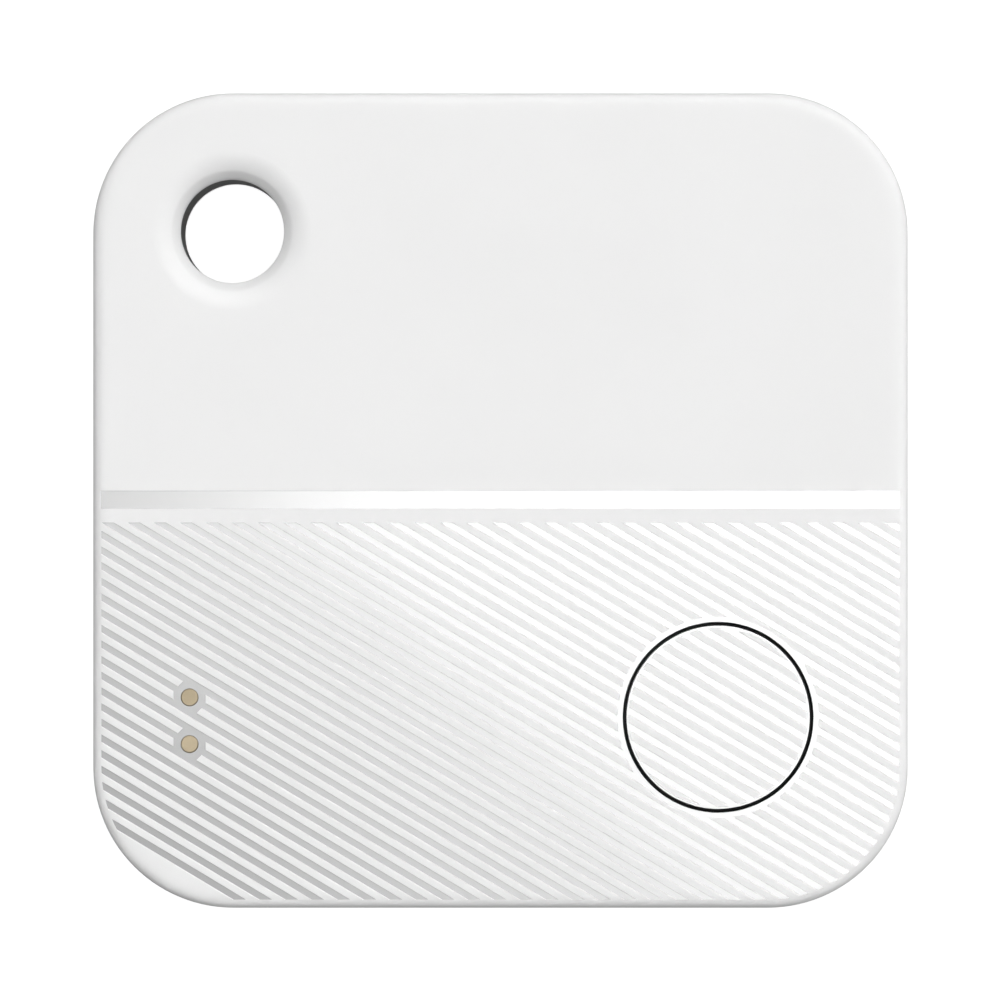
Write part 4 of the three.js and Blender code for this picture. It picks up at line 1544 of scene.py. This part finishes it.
    def inductor(self) -> None:
        """A wire-wound drum between two flanges on a square foot with tinned ends.

        The winding's radius is coil_radius + wire |sin(pi t)|, where t counts the turns up the drum.
        """
        place = Place.of("buzzer_inductor")
        (wide, deep), low, high = place.half, place.bottom, place.top
        foot, flange = low + 0.22, high - 0.2
        parts = [brick((wide, deep), low, foot, 0.25)]
        count = 4 * self.coil_turns + 1
        level = np.linspace(foot, flange, count)
        angle = np.linspace(0.0, self.coil_turns * math.pi, count)
        winding = self.coil_radius + self.wire * np.abs(np.sin(angle))
        coil = [(0, foot - 0.02), *zip(winding.tolist(), level.tolist()), (0, flange + 0.02)]
        parts.append(lathe(coil, SMALL_ROUND).finished(1))
        parts.append(lathe(softened(post(wide - 0.05, flange, high), 0.06), SMALL_ROUND))
        end = brick((0.2, deep * 0.7), low, foot - 0.03, 0.05, 0.03).finished(2)
        parts += [end.moved(side * (wide - 0.2)) for side in (-1, 1)]
        whole = Surface.together(parts).moved(*place.middle)
        piece("buzzer_inductor", whole, Look.RESIN, Look.COPPER, Look.TIN)

    def build(self) -> None:
        """Makes the board and everything on it."""
        self.plate()
        self.lands()
        for node in self.screws:
            self.screw(node)
        self.radio_chip()
        self.crystal("crystal_main")
        self.crystal("crystal_sleep")
        self.antenna()
        self.inductor()
        for node in self.small:
            if node.startswith("capacitor"):
                self.two_ended(node, 0.25, Look.CAPACITOR)
            else:
                self.two_ended(node, 0.2, Look.CERAMIC, Look.RESIN)


# ---- Coin cell ------------------------------------------------------------------------------------


@dataclass
class Cell:
    """The coin cell, its holder, its two contacts and the foam behind it."""

    wall: float = 0.25
    bore: float = 10.15
    barrel: float = 10.7
    ear_width: float = 3.0
    flange: float = 11.6
    flange_low: float = 2.3
    ear_out: float = 11.8
    ear_turns: tuple = (0, 90, 270)
    ear_reach: float = 6.0
    ear_corner: float = 0.3
    clearance: float = 0.04
    window: tuple = (2.6, 3.0, 2.95)
    skirt: float = 9.38
    skirt_wall: float = 0.23
    plus_mark: tuple = (0.9, 0.18, 7.9)
    segments: int = 144

    def __post_init__(self) -> None:
        """Takes the cell's place from the frame."""
        self.place = Place.of("battery_can")
        self.centre = self.place.middle
        self.board = Place.of("main_board")

    def turned_piece(self, node: str, profile: Profile, soft: float, look: Look,
                     closed: bool = False) -> None:
        """One turned part of the cell; heights are measured from the cell's lowest face."""
        rounded = softened(profile, soft, closed)
        made = lathe(rounded, self.segments, self.centre).moved(z=self.place.bottom)
        piece(node, made, look)

    def cell(self) -> None:
        """Can, gasket, cap and filling."""
        radius = self.place.half[0]
        height = self.place.top - self.place.bottom + 0.05
        wall = self.wall
        self.turned_piece("battery_can", [
            (0, 0), (radius - 0.3, 0), (radius, 0.3), (radius, height - 0.5), (radius - 0.2, height - 0.2),
            (radius - 0.8, height - 0.05), (radius - 0.85, height - 0.19), (radius - 0.4, height - 0.4),
            (radius - wall, height - 0.6), (radius - wall, wall), (0, wall)], 0.12, Look.CELL)
        outer = radius - wall - 0.04
        inner = outer - 0.29
        self.turned_piece("battery_gasket", [
            (inner, wall + 0.06), (outer, wall + 0.06), (outer, height - 0.62), (outer - 0.14, height - 0.45),
            (outer - 0.59, height - 0.24), (outer - 0.66, height - 0.33), (inner, height - 0.53)],
            0.04, Look.SILICONE, closed=True)
        skirt, inside = self.skirt, self.skirt - self.skirt_wall
        self.turned_piece("battery_cap", [
            (0, height - 0.23), (8.5, height - 0.23), (8.7, height - 0.35), (8.75, height - 0.6),
            (inside, height - 0.7), (inside, 0.65), (skirt, 0.65), (skirt, height - 0.57),
            (9.02, height - 0.39), (8.95, height - 0.13), (8.8, height), (0, height)], 0.08, Look.CELL)
        disc("battery_cathode", Look.CATHODE, 0.06)
        disc("battery_separator", Look.FELT, 0.06)
        disc("battery_anode", Look.LITHIUM, 0.06)
        long, wide, out = self.plus_mark
        arm = brick((long, wide), self.place.bottom - 0.02, self.place.bottom + 0.02, 0.1, 0.008)
        mark = Surface.together([arm, arm.turned(90)]).moved(self.centre[0], self.centre[1] - out)
        detail("battery_plus_mark", mark, "battery_can", "cell_steel", Look.SHIELD)

    def holder(self) -> None:
        """A ring through the board: a flange below it, three ears above it, a window for the side contact."""
        place = Place.of("battery_holder")
        low, high = place.bottom, place.top
        x, y = self.centre
        flange = self.board.bottom - self.clearance
        profile = [(self.bore, low), (self.barrel, low), (self.barrel, self.flange_low),
                   (self.flange, self.flange_low), (self.flange, flange), (self.barrel, flange),
                   (self.barrel, high), (self.bore, high)]
        ring = lathe(softened(profile, 0.08, closed=True), self.segments, self.centre)
        holder = mesh_of("battery_holder_surface", ring, [Look.HOLDER])
        ear_ring = band(self.barrel - 0.1, self.ear_out, self.board.top + self.clearance, high)
        ear_ring = lathe(softened(ear_ring, 0.06, closed=True), self.segments)
        levels = [(0.0, low), (0.0, high + THROUGH)]
        sector = stacked((self.ear_reach, self.ear_width / 2), self.ear_corner, levels, steps=4)
        sector = sector.moved(2 * self.ear_reach)
        for turn in self.ear_turns:
            ear = mesh_of("ear", ear_ring, [Look.HOLDER])
            sector_mesh = mesh_of("ear_limit", sector.turned(turn), [Look.HOLDER])
            ear = carve(ear, Cut.KEEP, sector_mesh)
            ear.data.transform(Matrix.Translation((x, y, 0.0)))
            carve(holder, Cut.JOIN, ear)
        depth, width, sill = self.window
        opening = brick((depth / 2, width / 2), sill, high + THROUGH, 0.1).moved(x - self.bore, y)
        carve(holder, Cut.TAKE, mesh_of("window", opening, [Look.HOLDER]))
        settle(holder, "battery_holder")

    def contacts(self) -> None:
        """The spring strips: one bears down on the cap's middle, one presses on the can's side."""
        x, y = self.centre
        foot = self.board.top + 0.02
        thick = 0.15
        level = foot + thick / 2
        path = [(-13.8, level), (-12.3, level), (-11.4, 4.98), (-4.5, 4.98), (-0.8, 4.66), (0.4, 4.66),
                (2.2, 4.92)]
        made = strip(path, thick, 2.6, 0.5).turned(90).moved(x - 1.5, y)
        piece("battery_contact_negative", made, Look.SPRING)
        thick = 0.12
        touch = self.place.half[0] + thick
        level = foot + thick / 2
        path = [(-13.6, level), (-12.3, level), (-12.0, 4.2), (-10.7, 4.2), (-10.45, 3.9), (-touch, 3.4),
                (-touch, 3.2), (-10.3, 3.0)]
        piece("battery_contact_positive", strip(path, thick, 2.2, 0.15).moved(x, y), Look.SPRING)

    def foam(self) -> None:
        """The foam disc on the rear cover."""
        disc("battery_foam_pad", Look.FOAM, 0.1, steps=5)

    def build(self) -> None:
        """Makes the cell and what holds it."""
        self.cell()
        self.holder()
        self.contacts()
        self.foam()


# ---- Sounder --------------------------------------------------------------------------------------


@dataclass
class Sounder:
    """The brass and ceramic disc, its soft ring and the two spring fingers."""

    ring_inner: float = 5.2
    finger_width: float = 1.0
    finger_thickness: float = 0.12
    finger_middle: float = 0.96
    film: float = 0.01
    film_inset: float = 0.25

    def build(self) -> None:
        """Makes the sounder."""
        disc("buzzer_disc", Look.BRASS, 0.04)
        disc("buzzer_ceramic", Look.CERAMIC, 0.04)
        place = Place.of("buzzer_ceramic")
        low, radius = place.bottom, place.half[0] - self.film_inset
        film = lathe(post(radius, low - self.film, low + 2 * self.film), LARGE_ROUND, place.middle)
        detail("buzzer_silver_film", film, "buzzer_ceramic", "spring_steel", Look.TIN)
        place = Place.of("buzzer_ring")
        profile = band(self.ring_inner, place.half[0], place.bottom, place.top)
        ring = lathe(softened(profile, 0.1, closed=True, steps=5), LARGE_ROUND, place.middle)
        piece("buzzer_ring", ring, Look.FOAM)
        for node in ("buzzer_spring_rim", "buzzer_spring_centre"):
            self.finger(node)

    def finger(self, node: str) -> None:
        """A C-shaped finger that stands on the board and presses up against the disc."""
        place = Place.of(node)
        foot, top = place.bottom + self.finger_thickness / 2, place.top
        path = [(0.9, foot), (-0.6, foot), (-0.9, foot + 0.24), (-0.6, top - 0.26), (0.5, top - 0.06)]
        made = strip(path, self.finger_thickness, self.finger_width, 0.2)
        made = made.moved(place.low[0] + self.finger_middle, place.middle[1])
        piece(node, made, Look.SPRING)


# ---- Studio ---------------------------------------------------------------------------------------


@dataclass
class Studio:
    """Floor, light and camera."""

    camera_height: float = 0.3565
    lens: float = 277.6
    sensor: float = 36.0
    card_height: float = 1.0
    card_half: float = 0.085
    floor_half: float = 3.0
    key_place: tuple = (0.05, 0.7, 1.1)
    key_size: float = 0.5
    key_power: float = 8.0
    sky_level: float = 0.659
    sky_lean: float = 0.2
    sky_spread: float = 0.5
    sky_side: float = 2.8
    sky_fall: float = 4.0
    sky_seen: float = 0.93
    floor_seen: float = 0.97
    floor_bounce: float = 0.15
    floor_grey: float = 0.2
    card_turn: float = 47.0
    card_slope: tuple = (-24.0, -7.5, 0.37, 0.815)
    card_edge: tuple = (-8.5, -5.5, 0.0, 0.18)
    card_inside: tuple = (-5.5, 25.0, 0.0, 0.5)
    polished_base: float = 0.36
    reflectance: float = 0.04

    @staticmethod
    def sheet(name: str, finish: str, half: float, height: float, face: tuple[int, ...]) -> Shader:
        """A square of the studio, not a piece of the tag.

        Args:
            name: of the object.
            finish: name of its material.
            half: half its width, in metres.
            height: how high it lies.
            face: the order of its corners, anticlockwise seen from its front.

        Returns:
            Its empty node tree.
        """
        material = bpy.data.materials.new(finish)
        material.use_nodes = True
        mesh = bpy.data.meshes.new(name)
        mesh.from_pydata([(-half, -half, 0), (half, -half, 0), (half, half, 0), (-half, half, 0)], [], [face])
        mesh.materials.append(material)
        made = bpy.data.objects.new(name, mesh)
        made.location = (0.0, 0.0, height)
        bpy.context.scene.collection.objects.link(made)
        return Shader(material.node_tree)

    def camera(self) -> None:
        """Straight above the middle of the tag, with +Y up."""
        data = bpy.data.cameras.new("camera")
        data.lens = self.lens
        data.sensor_width = self.sensor
        made = bpy.data.objects.new("camera", data)
        made.location = (0.0, 0.0, self.camera_height)
        bpy.context.scene.collection.objects.link(made)
        bpy.context.scene.camera = made

    def card(self) -> None:
        """A glowing card above the camera, whose picture is what the polished areas show.

        Its brightness L follows one slanting direction s, measured where it is mirrored on the tag:
        reflectance L + base rises evenly along s, steps up at the card's inner edge, then rises slowly.
        """
        face = Place.of("front_shell").top * MM
        mirrored = 1 + (self.card_height - face) / (self.camera_height - face)
        shader = self.sheet("light_card", "light_card", self.card_half, self.card_height, (0, 3, 2, 1))
        x, y, _ = shader.axes(shader.place())
        turn = math.radians(self.card_turn)
        along = (x * math.cos(turn) + y * math.sin(turn)) / (mirrored * MM)
        tone = along.ramp(*self.card_slope) + along.ramp(*self.card_edge, smooth=True)
        tone = tone + along.ramp(*self.card_inside)
        strength = (tone - self.polished_base) / self.reflectance
        glow = shader.node("ShaderNodeEmission", None, {"Strength": strength})
        shader.output("ShaderNodeOutputMaterial", glow)

    def key(self) -> None:
        """A soft box high up beyond the top of the tag, turned towards the tag."""
        data = bpy.data.lights.new("key_light", "AREA")
        data.size = self.key_size
        data.energy = self.key_power
        made = bpy.data.objects.new("key_light", data)
        made.location = self.key_place
        direction = -np.array(self.key_place)
        across = math.hypot(direction[0], direction[1])
        tilt = math.atan2(across, -direction[2])
        made.rotation_euler = (tilt, 0.0, math.atan2(-direction[0], direction[1]))
        bpy.context.scene.collection.objects.link(made)

    def sky(self) -> None:
        """Soft light from all round. The camera sees it as pale grey.

        It leans towards the top of the tag, is brighter from the sides than from the ends, and has a bright
        band low down on the right and a dark one low down on the left.
        """
        world = bpy.data.worlds.new("studio")
        bpy.context.scene.world = world
        world.use_nodes = True
        shader = Shader(world.node_tree)
        direction = shader.node("ShaderNodeTexCoord").outputs["Generated"]
        x, y, z = shader.axes(direction)
        low_down = (1.0 - z.ramp(0.0, 1.0)) ** self.sky_fall
        level = self.sky_level + y * self.sky_lean + (x * x - y * y) * self.sky_spread
        level = (level + x * low_down * self.sky_side).at_least(0.0)
        seen = Value(shader, shader.node("ShaderNodeLightPath").outputs["Is Camera Ray"])
        strength = level * (1.0 - seen) + seen * self.sky_seen
        background = shader.node("ShaderNodeBackground", None, {"Strength": strength})
        shader.output("ShaderNodeOutputWorld", background)

    def floor(self) -> None:
        """A white floor that throws less light than it shows, and can be looked through from below."""
        shader = self.sheet("floor", "white_floor", self.floor_half, 0.0, (0, 1, 2, 3))
        seen = Value(shader, shader.node("ShaderNodeLightPath").outputs["Is Camera Ray"])
        strength = seen * self.floor_seen + (1.0 - seen) * self.floor_bounce
        glow = shader.node("ShaderNodeEmission", None, {"Strength": strength})
        grey = (self.floor_grey, self.floor_grey, self.floor_grey, 1.0)
        matte = shader.node("ShaderNodeBsdfDiffuse", None, {"Color": grey})
        both = shader.node("ShaderNodeAddShader", None, {0: glow.outputs[0], 1: matte.outputs[0]})
        clear = shader.node("ShaderNodeBsdfTransparent")
        behind = shader.node("ShaderNodeNewGeometry").outputs["Backfacing"]
        parts = {0: behind, 1: both.outputs[0], 2: clear.outputs[0]}
        mixed = shader.node("ShaderNodeMixShader", None, parts)
        shader.output("ShaderNodeOutputMaterial", mixed)

    def build(self) -> None:
        """Sets the studio up."""
        bpy.context.scene.view_settings.view_transform = "Standard"
        self.camera()
        self.card()
        self.key()
        self.sky()
        self.floor()


def main() -> None:
    """Builds the studio and every sub-assembly."""
    logging.basicConfig(level=logging.INFO, format="%(message)s")
    Studio().build()
    Case().build()
    Button().build()
    ContactPins().build()
    Switch().build()
    Board().build()
    Cell().build()
    Sounder().build()


if __name__ == "__main__":
    main()
